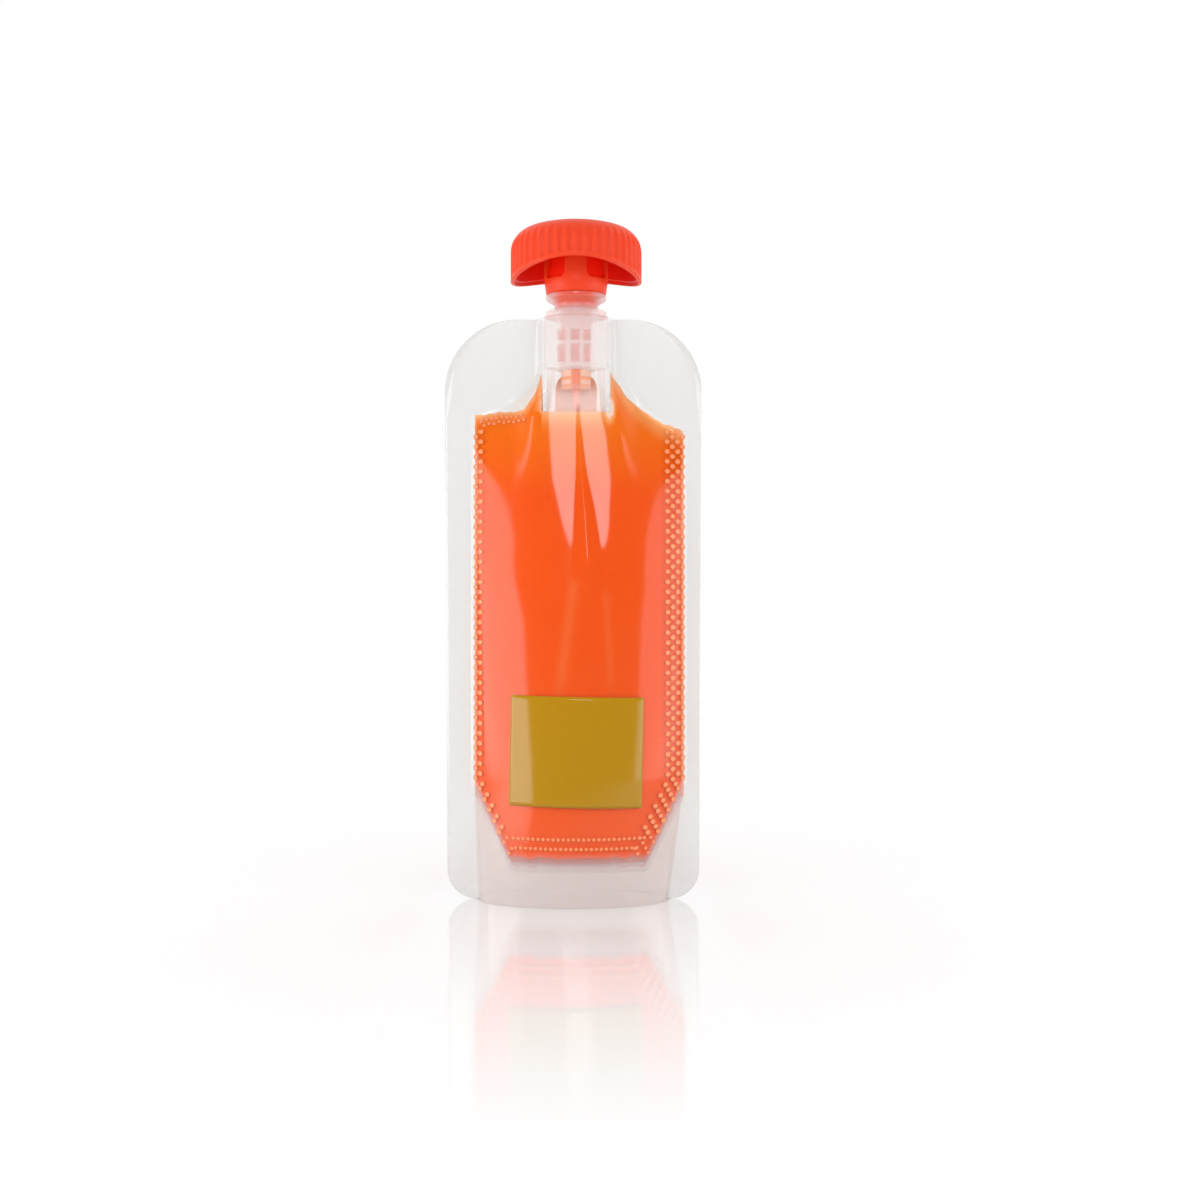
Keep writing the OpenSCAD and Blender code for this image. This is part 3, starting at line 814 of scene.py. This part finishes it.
def dot_places():
    """Centres of the weld dots, in staggered columns and rows along the border of the filling."""
    places = []
    low = FOOT_ROWS_Z[0] - 0.6 * DOT_PITCH
    for side, columns in ((-1, LEFT_COLUMNS), (1, RIGHT_COLUMNS)):
        for column in range(columns):
            for k in range(int((LEFT_SHOULDER_Z - low) / DOT_PITCH)):
                z = low + (k + column % 2 * 0.5) * DOT_PITCH
                x = border_x(z, side) - side * (BORDER + column * COLUMN_PITCH)
                if z < fill_high(x) - BORDER:
                    places.append((x, z))
    for row, z in enumerate(FOOT_ROWS_Z):
        reach = border_x(z, 1) - POCKET_MID - 2 * COLUMN_PITCH
        count = int(2 * reach / ROW_PITCH)
        places += [(POCKET_MID + (k + row * 0.5 - count / 2) * ROW_PITCH, z) for k in range(count)]
    for row in range(SHOULDER_ROWS):
        for k in range(SHOULDER_DOTS):
            x = DOT_PITCH / 2 * (k + row * 0.5) - POCKET_LEFT + SHOULDER_START
            places.append((x, fill_high(x) - (1 + row) * COLUMN_PITCH))
    return places


def dot_radius(x, z):
    if z > fill_high(x) - (SHOULDER_ROWS + 0.5) * COLUMN_PITCH and x < 0:
        return SHOULDER_DOT_R
    return DOT_R if z > FOOT_ROWS_Z[1] + ROW_PITCH / 2 else FOOT_DOT_R


def make_dots(name, wall_y, outward, material):
    """Small domes that stand on the outside of one film."""
    mesh = Mesh()
    sides, rings = DOT_SIDES, len(DOT_DOME)
    faces = grid_quads(rings, sides, ring_cols=True)
    last = (rings - 1) * sides
    faces += [(last + s, last + (s + 1) % sides, rings * sides) for s in range(sides)]
    faces.append(tuple(range(sides))[::-1])
    if outward > 0:
        faces = flipped(faces)
    for x, z in dot_places():
        size = dot_radius(x, z)
        vertices = []
        for r, rise in DOT_DOME:
            for s in range(sides):
                a = 2 * math.pi * s / sides
                px, pz = x + size * r * math.cos(a), z + size * r * math.sin(a)
                vertices.append((px, wall_y(px, pz, FILM_T + DOT_RISE * rise), pz))
        vertices.append((x, wall_y(x, z, FILM_T + DOT_RISE), z))
        mesh.add(vertices, faces)
    return mesh.piece(name, material)


# --- Spout ---

TUBE_R = 5.6
BORE_R = 4.3
FLANGE_Z = FILM_H + 0.4
FLANGE_R = 8.7
FLANGE_T = 1.6
GROOVE_R = 6.8
GROOVE_H = 3.4
WAIST_R = 6.2
TOP_FLANGE_R = 8.6
TOP_FLANGE_T = 1.3
MOUTH_Z = FILM_H + 23.4
EDGE = 0.4
BOAT_A = 9.2
BOAT_B = 5.5
DROP_Z = BOAT_Z - 6
LEG_W = 2.5
LEG_D = 2.4
LEG_X = 7.15
THREAD_LEAD = 6
THREAD_TURNS = 0.75
THREAD_DEPTH = 0.85
THREAD_CREST_W = 0.7
THREAD_ROOT_W = 1.2
THREAD_Z = MOUTH_Z - 4 - THREAD_LEAD * THREAD_TURNS


def rounded_steps(points, radius=0.3, steps=3):
    """The profile with each corner cut by a small arc-like curve."""
    result = []
    for k, corner in enumerate(points):
        before, after = Vector(points[k - 1]), Vector(points[(k + 1) % len(points)])
        middle = Vector(corner)
        reach = min(radius, (before - middle).length / 2, (after - middle).length / 2)
        a = middle + (before - middle).normalized() * reach
        b = middle + (after - middle).normalized() * reach
        for t in evenly(0, 1, steps):
            point = a.lerp(middle, t).lerp(middle.lerp(b, t), t)
            result.append((point.x, point.y))
    return result


def spout_tube(mesh):
    """Mouth tube, flanges and groove, and the drop tube below, around one bore."""
    groove_z, top_z = FLANGE_Z + FLANGE_T, FLANGE_Z + FLANGE_T + GROOVE_H
    shoulder = top_z + TOP_FLANGE_T
    inner_wall = BORE_R + 0.1  # the tube is thin behind the boat, so that its windows show
    profile = [
        (TUBE_R, DROP_Z),
        (TUBE_R, BOAT_Z - EDGE),
        (inner_wall, BOAT_Z + EDGE),
        (inner_wall, FLANGE_Z),
        (FLANGE_R, FLANGE_Z),
        (FLANGE_R, groove_z),
        (GROOVE_R, groove_z),
        (WAIST_R, groove_z + 0.9),
        (WAIST_R, top_z - 1.4),
        (TOP_FLANGE_R, top_z),
        (TOP_FLANGE_R, shoulder),
        (TUBE_R, shoulder),
        (TUBE_R, MOUTH_Z),
        (BORE_R, MOUTH_Z),
        (BORE_R, DROP_Z),
    ]
    mesh.lathe(rounded_steps(profile))


def thread(mesh, first_turn, low_z, inner, outer):
    """Two ridges that wind up between two radii, each given with the ridge's width there."""
    for start in (0, 0.5):
        loops = []
        for i in range(int(TURN * THREAD_TURNS) + 1):
            a = 2 * math.pi * (start + first_turn + i / TURN)
            z = low_z + THREAD_LEAD * i / TURN
            section = [(r, z - width / 2) for r, width in (inner, outer)]
            section += [(r, z + width / 2) for r, width in (outer, inner)]
            loops.append([at_angle(r, a, h) for r, h in section])
        mesh.loft(loops)


# Windows in the boat's walls: their sides from the spout's axis, and their heights
WINDOW_COLUMNS = [(-5.1, -3.0), (-1.4, 1.0), (2.2, 4.0)]
WINDOW_ROWS = [(152.4, 157.2), (158.6, 161.4)]
WINDOW_DEPTH = 1.05
WINDOW_EDGE = 0.7


def window(x, z):
    """1 inside a window of the boat's wall, and 0 outside."""
    across = max(min(x - a, b - x) for a, b in WINDOW_COLUMNS)
    up = max(min(z - a, b - z) for a, b in WINDOW_ROWS)
    return rise(min(across, up), -WINDOW_EDGE / 2, WINDOW_EDGE / 2)


def spout_boat(mesh):
    """The welded boat: two bowed walls that meet in pointed ends, with windows sunk into them."""
    cols, rows = 96, 64
    r = (BOAT_A**2 + BOAT_B**2) / (2 * BOAT_B)
    walls = []
    for side in (-1, 1):
        for z in evenly(BOAT_Z, FLANGE_Z + EDGE, rows):
            for x in evenly(-BOAT_A, BOAT_A, cols):
                depth = math.sqrt(r * r - x * x) - r + BOAT_B
                depth = max(depth - WINDOW_DEPTH * window(x, z), 0.02)
                walls.append((SPOUT_X + x, side * depth, z))
    mesh.add(walls, skin_faces(rows + 1, cols + 1))


def spout_leg(mesh, side):
    """A leg beside the drop tube, with a rounded foot."""
    foot_r = LEG_W / 2
    turns = evenly(math.pi, 2 * math.pi, 12)
    outline = [(foot_r * math.cos(a), LEG_Z + foot_r + foot_r * math.sin(a)) for a in turns]
    outline += [(foot_r, BOAT_Z + EDGE), (-foot_r, BOAT_Z + EDGE)]
    x0 = SPOUT_X + side * LEG_X
    mesh.loft([[(x0 + x, y, z) for x, z in outline] for y in (-LEG_D / 2, LEG_D / 2)])


def make_spout(material):
    mesh = Mesh()
    spout_tube(mesh)
    thread(mesh, 0, THREAD_Z, (TUBE_R - EDGE, THREAD_ROOT_W), (TUBE_R + THREAD_DEPTH, THREAD_CREST_W))
    spout_boat(mesh)
    for side in (-1, 1):
        spout_leg(mesh, side)
    spout = mesh.piece("spout_moulding", material, sharp=40)
    looks = [spout_look(x - SPOUT_X, y, z) for x, y, z in mesh.vertices]
    set_attribute(spout, "opacity", [opacity for opacity, warmth in looks])
    set_attribute(spout, "warmth", [warmth for opacity, warmth in looks])
    return spout


# The neck gets a painted red glow below the cap, for the cap's light, which also hides the shade under the
# collar: where the glow sets in, and where it ends under the collar
GLOW_LOW_Z = (166.6, 169.4)
GLOW_HIGH_Z = (171.7, 172.2)


def spout_look(x, y, z):
    """How opaque the clear plastic looks at a place, and how much painted red glow it gets for the light
    from the cap.
    """
    r = math.hypot(x, y)
    middle = 1 - rise(abs(x), 4, 8)
    if z > FLANGE_Z - EDGE:
        near_cap = rise(z, *GLOW_LOW_Z) * (1 - rise(z, *GLOW_HIGH_Z))
        return mix(0.4, mix(0.5, 0.85, middle), near_cap), mix(0.3, mix(0.4, 1.0, middle), near_cap)
    if z < BOAT_Z - EDGE:
        return (0.1, 0.3) if r < TUBE_R + EDGE else (0.5, 0.0)
    if r < BORE_R + 0.3 and abs(y) < BOAT_B - WINDOW_DEPTH - EDGE:
        return 0.08, 0.3
    sunk = window(x, z)
    return mix(mix(0.22, 0.34, middle), 0.46, sunk), mix(mix(0.0, 0.1, middle), 0.66, sunk)


# Puree that stands in the bore, and a lumpy string of it that hangs into the filling
CORE_R = 4.2
CORE_TOP_Z = 150.2
STRING_R = 1.15
STRING_LOW_Z = 138.8
STRING_KNOTS = 1.9  # from knot to knot of the string
BANDS = [(145.1, 146.2), (147.5, 148.4)]  # orange bands across the pale part
# The smear is painted pale for the light that shines through it
SMEAR_TOP_Z = 151.4  # a pale smear on the back film, between the spout's legs
SMEAR_HALF_W = 6.1
SMEAR_T = 0.4
SMEAR_BACKLIT_PALE = 0.8


def core_look(x, z):
    """How much painted backlight pales the puree in the bore: it stays orange along the string and in the
    bands.
    """
    string = 1 - rise(abs(x), STRING_R * 0.8, STRING_R * 1.3)
    band = max(rise(min(z - low, high - z), -0.1, 0.2) for low, high in BANDS)
    return min(mix(0.96, 0.0, string), mix(0.96, 0.5, band))


def core_smear(mesh):
    """Puree that clings to the back film, between the spout's legs, painted pale for backlight."""
    rows, sides = 16, 40
    loops = []
    for a in evenly(0, math.pi / 2, rows):
        up = math.sin(a)
        z = mix(FILL_MIDDLE_Z - 1, SMEAR_TOP_Z, up)
        half = SMEAR_HALF_W * max(0.04, 1 - up**8)
        loop = []
        for side in range(sides):
            a = 2 * math.pi * side / sides
            x = SPOUT_X + half * math.cos(a)
            loop.append((x, back_y(x, z, SMEAR_T / 2 * (math.sin(a) - 1) - FILM_GAP - 0.1), z))
        loops.append(loop)
    mesh.loft(loops, [SMEAR_BACKLIT_PALE] * sides)


def make_core(material):
    mesh = Mesh()
    steps = 24
    profile = [(AXIS_R, STRING_LOW_Z), (0.6, STRING_LOW_Z + 0.4)]
    for z in evenly(STRING_LOW_Z + 1.2, DROP_Z + 0.1, steps):
        profile.append((STRING_R * (1 + 0.14 * math.sin(2 * math.pi * z / STRING_KNOTS)), z))
    profile += [(CORE_R, z) for z in evenly(DROP_Z + 0.15, CORE_TOP_Z, steps)]
    profile += [(CORE_R * 0.6, CORE_TOP_Z + 0.4), (AXIS_R, CORE_TOP_Z + 0.5)]
    mesh.lathe(profile, closed=False)
    core_smear(mesh)
    core = mesh.piece("puree_core", material)
    looks = [shade or core_look(x - SPOUT_X, z) for (x, y, z), shade in zip(mesh.vertices, mesh.shades)]
    set_attribute(core, "thin", looks)
    return core


# --- Cap ---

CAP_R = 18.65
CAP_TOP_Z = FILM_H + 27.4
RIM_Z = CAP_TOP_Z - 17.2
CAP_WALL = 1.5
RIM_T = 1.1
CAP_TOP_R = 13.2
CAP_DOME = 1.9
CAP_SHOULDER_H = 6.6
DOME_END = math.radians(15)  # the dome's slope where the rounded shoulder takes over
RIM_RISE = 4.1
RIM_ROUND = 0.3
FLUTES = 44
FLUTE_DEPTH = 0.62
FLUTE_FACETS = 10
COLLAR_Z = FILM_H + 6.8
COLLAR_H = 4.2
COLLAR_LOW_R = 8.5
COLLAR_HIGH_R = 9.1
BARREL_BORE_R = 6.85
BARREL_R = 7.9
CEILING_Z = CAP_TOP_Z - 2 * CAP_WALL
WEB_W = 6.3
WEB_FILLET = 1.3
CAP_THREAD_Z = THREAD_Z - 1.5 - THREAD_LEAD * THREAD_TURNS / 2


def dome_curve(inset, steps=9):
    """Dome and rounded shoulder, moved in by inset, as (radius, height, how deep the flutes are)."""
    top_r, side_r, top_z, drop = CAP_TOP_R - inset, CAP_R - inset, CAP_TOP_Z - inset, CAP_SHOULDER_H - inset
    curve = [(top_r * t, top_z - CAP_DOME * t * t, 0.0) for t in evenly(0, 1, steps)[1:-1]]
    for a in evenly(DOME_END, math.pi / 2, steps):
        out = (math.sin(a) - math.sin(DOME_END)) / (1 - math.sin(DOME_END))
        down = 1 - math.cos(a) / math.cos(DOME_END)
        fluted = rise(a, math.radians(46), math.radians(78))
        curve.append((mix(top_r, side_r, out), top_z - CAP_DOME - drop * down, fluted))
    return curve


def rim_height(x):
    """Height of the arched rim, which is low at the cap's sides and high at its front and back."""
    arch_r = (CAP_R**2 + RIM_RISE**2) / (2 * RIM_RISE)
    return RIM_Z + RIM_RISE - arch_r + math.sqrt(arch_r**2 - x * x)


def cap_shell(mesh):
    """The grip: flutes outside that run out towards the rim, a thinner rim, and a smooth inside."""
    rows = 10
    loops = []
    for s in range(FLUTES * FLUTE_FACETS):
        a = 2 * math.pi * s / (FLUTES * FLUTE_FACETS)
        low = rim_height(CAP_R * math.cos(a))
        groove = FLUTE_DEPTH * (0.5 - 0.5 * math.cos(FLUTES * a))
        outer = dome_curve(0)
        for z in evenly(outer[-1][1], low + RIM_ROUND, rows)[1:]:
            outer.append((CAP_R, z, rise(z - low, 0.9, 1.9)))
        section = [(r - groove * fluted, z) for r, z, fluted in outer]
        section += [(CAP_R - 0.1, low + 0.1), (CAP_R - RIM_ROUND, low), (CAP_R - RIM_T + 0.2, low)]
        section += [(CAP_R - RIM_T, low + 0.2), (CAP_R - RIM_T, low + 1)]
        inner = [(r, z) for r, z, _ in dome_curve(CAP_WALL)]
        section += [(CAP_R - CAP_WALL, z) for z in evenly(low + 1.4, inner[-1][1], rows // 2)[:-1]]
        section += inner[::-1]
        loops.append([at_angle(r, a, z) for r, z in section])
    n = len(loops[0])
    vertices = [point for loop in loops for point in loop]
    vertices += [(SPOUT_X, 0, CAP_TOP_Z), (SPOUT_X, 0, CAP_TOP_Z - CAP_WALL)]
    top, under = len(vertices) - 2, len(vertices) - 1
    faces = []
    for s in range(len(loops)):
        t = (s + 1) % len(loops)
        faces += [(top, s * n, t * n), (under, t * n + n - 1, s * n + n - 1)]
        faces += [(s * n + k, s * n + k + 1, t * n + k + 1, t * n + k) for k in range(n - 1)]
    rim = len(outer) + 4
    # Inner faces get 1, for the deeper red of painted bounce light
    mesh.add(vertices, faces, ([0.0] * rim + [1.0] * (n - rim)) * len(loops) + [0.0, 1.0])


def cap_hub(mesh):
    """Collar and threaded barrel."""
    top = COLLAR_Z + COLLAR_H
    profile = [
        (AXIS_R, CEILING_Z),
        (BARREL_BORE_R, CEILING_Z),
        (BARREL_BORE_R, COLLAR_Z + 0.2),
        (BARREL_BORE_R + 0.2, COLLAR_Z),
        (COLLAR_LOW_R - 0.2, COLLAR_Z),
        (COLLAR_LOW_R, COLLAR_Z + 0.2),
        (COLLAR_HIGH_R - 0.05, top - 0.5),
        (COLLAR_HIGH_R - 0.15, top - 0.2),
        (COLLAR_HIGH_R - 0.45, top - 0.05),
        (BARREL_R + 0.3, top + 0.05),
        (BARREL_R + 0.08, top + 0.25),
        (BARREL_R, top + 0.6),
        (BARREL_R, CAP_TOP_Z - CAP_WALL + 0.2),
        (AXIS_R, CAP_TOP_Z - CAP_WALL + 0.2),
    ]
    # The inside of the barrel and collar gets the deeper red of painted bounce light
    inside = [1.0 if r < COLLAR_LOW_R - 1 or z > top + 0.2 else 0.0 for r, z in profile]
    mesh.lathe(profile[::-1], closed=False, shades=inside[::-1])


def cap_webs(mesh):
    """Four webs up the barrel, with fillets where they run into the collar."""
    low, high = COLLAR_Z + COLLAR_H - 0.4, CAP_TOP_Z - CAP_WALL - 0.6
    fillet_top = low + WEB_FILLET * 1.4
    heights = evenly(low, fillet_top, 6) + [high]
    radii = [COLLAR_HIGH_R - 0.02] * 11
    radii[0] = radii[-1] = COLLAR_HIGH_R - 0.15
    inner = BARREL_R - 0.4
    for turn in range(4):
        loops = []
        for z in heights:
            spread = WEB_FILLET * (1 - span(z, low, fillet_top)) ** 2
            half = math.asin((WEB_W / 2 + spread) / COLLAR_HIGH_R)
            angles = [turn * math.pi / 2 + a for a in evenly(-half, half, 10)]
            ring = [at_angle(r, a, z) for r, a in zip(radii, angles)]
            loops.append(ring + [at_angle(inner, a, z) for a in reversed(angles)])
        # The webs' inner faces get the deeper red of painted bounce light
        mesh.loft(loops, [0.0] * 11 + [1.0] * 11)


def make_cap(material):
    mesh = Mesh()
    cap_shell(mesh)
    cap_hub(mesh)
    cap_webs(mesh)
    crest, root = BARREL_BORE_R - THREAD_DEPTH, BARREL_BORE_R + EDGE
    thread(mesh, -THREAD_TURNS / 2, CAP_THREAD_Z, (crest, THREAD_CREST_W), (root, THREAD_ROOT_W))
    cap = mesh.piece("cap_moulding", material, sharp=40)
    # The attribute marks the inside, which gets a deeper red of painted bounce light
    set_attribute(cap, "inside", mesh.shades)
    return cap


# --- Stage ---


def make_camera():
    camera = bpy.data.cameras.new("camera")
    camera.sensor_width = 36
    camera.lens = 18 / math.tan(FIELD_OF_VIEW / 2)
    view = new_object("camera", camera)
    view.location = CAMERA_PLACE
    view.rotation_euler = (math.pi / 2, 0, 0)
    bpy.context.scene.camera = view


AIM = Vector((0, 0, 0.09))


def direction(azimuth, elevation):
    """Unit vector: azimuth in degrees from the front (-Y) towards +X, elevation upwards."""
    a, e = math.radians(azimuth), math.radians(elevation)
    return Vector((math.sin(a) * math.cos(e), -math.cos(a) * math.cos(e), math.sin(e)))


def add_lamp(name, place, rotation, size, radiance):
    """A soft panel of the given width and height, as bright as a surface of that radiance."""
    light = bpy.data.lights.new(name, "AREA")
    light.shape = "RECTANGLE"
    light.size, light.size_y = size
    light.energy = radiance * math.pi * (size[0] * size[1])
    lamp = new_object(name, light)
    lamp.location = place
    lamp.rotation_euler = rotation.to_euler()
    lamp.visible_camera = False
    return lamp


PANEL_DISTANCE = 0.36
PANEL_W = 0.32


def side_panel(name, side, low, high, radiance):
    """A panel beside the pouch whose inner edge leans from low to high (azimuth, elevation)."""
    start = AIM + direction(side * low[0], low[1]) * PANEL_DISTANCE
    end = AIM + direction(side * high[0], high[1]) * PANEL_DISTANCE
    up = (end - start).normalized()
    facing = ((start + end) / 2 - AIM).normalized()
    outwards = facing.cross(up).normalized() * -side
    facing = outwards.cross(up).normalized() * side
    place = (start + end) / 2 + outwards * PANEL_W / 2
    rotation = Matrix((up.cross(facing), up, facing)).transposed()
    return add_lamp(name, place, rotation, (PANEL_W, (end - start).length), radiance)


FILL_LOW, FILL_HIGH = 0.5, 0.95  # the fill light at the horizon and overhead
FILL_LIGHT = 0.82  # what a level surface gets of it
FRONT_MIRROR = 0.12  # how bright the room in front is in reflections
WHITE = (1, 1, 1, 1)


def world_surface(nodes):
    """White behind everything, bright reflections from behind, and a soft fill."""
    y, z = axes(nodes, add(nodes, "TexCoord", output="Generated"), "YZ")
    overhead = map_range(nodes, z, -0.2, 1, FILL_LOW, FILL_HIGH)
    behind = map_range(nodes, y, -0.3, 0.2, FRONT_MIRROR, 1)
    fill, mirror, white = (
        add(nodes, "Background", Color=WHITE, Strength=strength) for strength in (overhead, behind, 1.0)
    )
    camera, glossy, through = rays(nodes, "Camera", "Glossy", "Transmission")
    lit = add(nodes, "MixShader", glossy, fill, mirror)
    return add(nodes, "MixShader", calculate(nodes, "MAXIMUM", camera, through), lit, white)


FLOOR_PAINT = 0.8
FLOOR_NEAR = (0.08, 0.3)  # painted within the first distance, and a plain glow beyond the second
FLOOR_BOUNCE = 0.75  # how bright the far floor is as a light
FLOOR_AS_LIGHT = 0.4  # how much of the near floor's glow is kept from lighting the object
FLOOR_AHEAD = 0.25  # how bright the floor ahead is in reflections
AHEAD_Y = (-0.4, -0.2)
# The floor mirrors the pouch in a patch ahead of its foot: how strongly, and where it fades out
FLOOR_MIRROR = 0.6
MIRROR_AHEAD_Y = (-0.19, 0)
MIRROR_BEHIND_Y = (0.01, 0.04)
MIRROR_BESIDE_X = (0.036, 0.045)


def floor_surface(nodes):
    """White paint near the foot, where it shows the fill light's shadow, and a white glow further off."""
    place = add(nodes, "TexCoord", output="Object")
    x, y = axes(nodes, place, "XY")
    glossy, diffuse = rays(nodes, "Glossy", "Diffuse")

    dimmed = calculate(nodes, "MULTIPLY", map_range(nodes, y, *AHEAD_Y, 1 - FLOOR_AHEAD, 0), glossy)
    hidden = calculate(nodes, "MAXIMUM", dimmed, map_range(nodes, diffuse, 0, 1, 0, FLOOR_AS_LIGHT))
    lift = map_range(nodes, hidden, 0, 1, 1 - FLOOR_PAINT * FILL_LIGHT, 0)
    paint = add(nodes, "BsdfDiffuse", Color=(FLOOR_PAINT, FLOOR_PAINT, FLOOR_PAINT, 1))
    painted = add(nodes, "AddShader", add(nodes, "Emission", Strength=lift), paint)
    glow = calculate(nodes, "SUBTRACT", map_range(nodes, diffuse, 0, 1, 1, FLOOR_BOUNCE), dimmed)
    distance = add(nodes, "VectorMath", place, output="Value", operation="LENGTH")
    near = map_range(nodes, distance, *FLOOR_NEAR, 1, 0)
    body = add(nodes, "MixShader", near, add(nodes, "Emission", Strength=glow), painted)

    aside = calculate(nodes, "ABSOLUTE", x)
    mirror = map_range(nodes, y, *MIRROR_AHEAD_Y, 0, FLOOR_MIRROR)
    for value, ends in ((y, MIRROR_BEHIND_Y), (aside, MIRROR_BESIDE_X)):
        mirror = calculate(nodes, "MULTIPLY", mirror, map_range(nodes, value, *ends, 1, 0))
    gloss = add(nodes, "BsdfGlossy", Color=WHITE, Roughness=0.03)
    return add(nodes, "MixShader", mirror, body, gloss)


def make_floor():
    half = 6000
    corners = [(-half, -half, 0), (half, -half, 0), (half, half, 0), (-half, half, 0)]
    floor = new_piece("floor", corners, [(0, 1, 2, 3)], make_material("floor", floor_surface))
    return floor


def make_lights(floor):
    """Soft panels that the film mirrors; they leave the floor to the fill light."""
    above = direction(0, 18.7)
    panels = [
        side_panel("left_panel", -1, (37, -13), (57, 27), 3.1),
        side_panel("right_panel", 1, (43, -13), (60, 31), 1.9),
        add_lamp("front_panel", AIM + above * 3.0, (-above).to_track_quat("-Z", "Y"), (0.9, 0.56), 7.5),
    ]
    unlit = bpy.data.collections.new("unlit_by_panels")
    unlit.objects.link(floor)
    unlit.collection_objects[0].light_linking.link_state = "EXCLUDE"
    for panel in panels:
        panel.light_linking.receiver_collection = unlit


# --- The scene ---


def corners(box):
    return [[float(value) for value in corner] for corner in box]


def set_finish(node, material):
    node.data.materials.clear()
    node.data.materials.append(material)
    node.data.polygons.foreach_set("use_smooth", [True] * len(node.data.polygons))
    node.data.set_sharp_from_angle(angle=math.radians(32))


def main():
    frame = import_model()
    scene = bpy.context.scene
    scene.view_settings.view_transform = "Standard"
    scene.cycles.transparent_max_bounces = 32

    make_camera()
    scene.world = build(bpy.data.worlds.new("world"), world_surface)
    make_lights(make_floor())

    film_look = (linear(238, 236, 234), 0.18, (0.982, 0.982, 0.98, 1))
    # The gusset film's pink tints paint light bounced from the puree
    gusset_bounce_look = (linear(255, 240, 236), 0.1, (0.985, 0.955, 0.946, 1))
    # The cap's last colour is a deeper red painted on its inside for the light that bounces within it
    cap_look = (linear(240, 66, 26), 0.42, 1400, 0.012 * MM, 0.3, linear(250, 32, 0))
    film = make_material("clear_film", film_surface, *film_look)
    gusset_film = make_material("gusset_film", film_surface, *gusset_bounce_look)
    puree = make_material("puree", puree_surface)
    ink = make_material("print", print_surface)
    dots = make_material("weld_dots", plastic_surface, linear(255, 150, 98), 0.2, 900, 0.01 * MM)
    spout = make_material("spout_plastic", spout_surface)
    liner = make_material("liner_foam", plastic_surface, linear(238, 236, 230), 0.8, 1200, 0.05 * MM)
    cap = make_material("cap_plastic", plastic_surface, *cap_look)

    front = make_film("front_film_clear", front_y, False, film)
    back = make_film("back_film_clear", back_y, True, film)
    gusset = make_gusset(gusset_film)
    filling = make_puree(puree)
    patch = make_label(ink)
    front_dots = make_dots("weld_dots_front", front_y, -1, dots)
    back_dots = make_dots("weld_dots_back", back_y, 1, dots)

    moulding = make_spout(spout)
    cap_moulding = make_cap(cap)
    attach(cap_moulding, "cap")
    core = make_core(puree)

    for piece in (front, back, gusset, filling, patch, front_dots, back_dots, moulding, core):
        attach(piece, "pouch")
    for piece, node, slot in (
        (front, "front_film", "clear_film"),
        (back, "back_film", "clear_film"),
        (gusset, "base_gusset", "clear_film"),
        (filling, "puree", "puree"),
        (patch, "label_patch", "printed_label"),
        (moulding, "spout", "spout_plastic"),
        (cap_moulding, "screw_cap", "cap_plastic"),
    ):
        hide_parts(node)

    set_finish(frame["nodes"]["cap_liner"], liner)

    bpy.context.view_layer.update()


main()
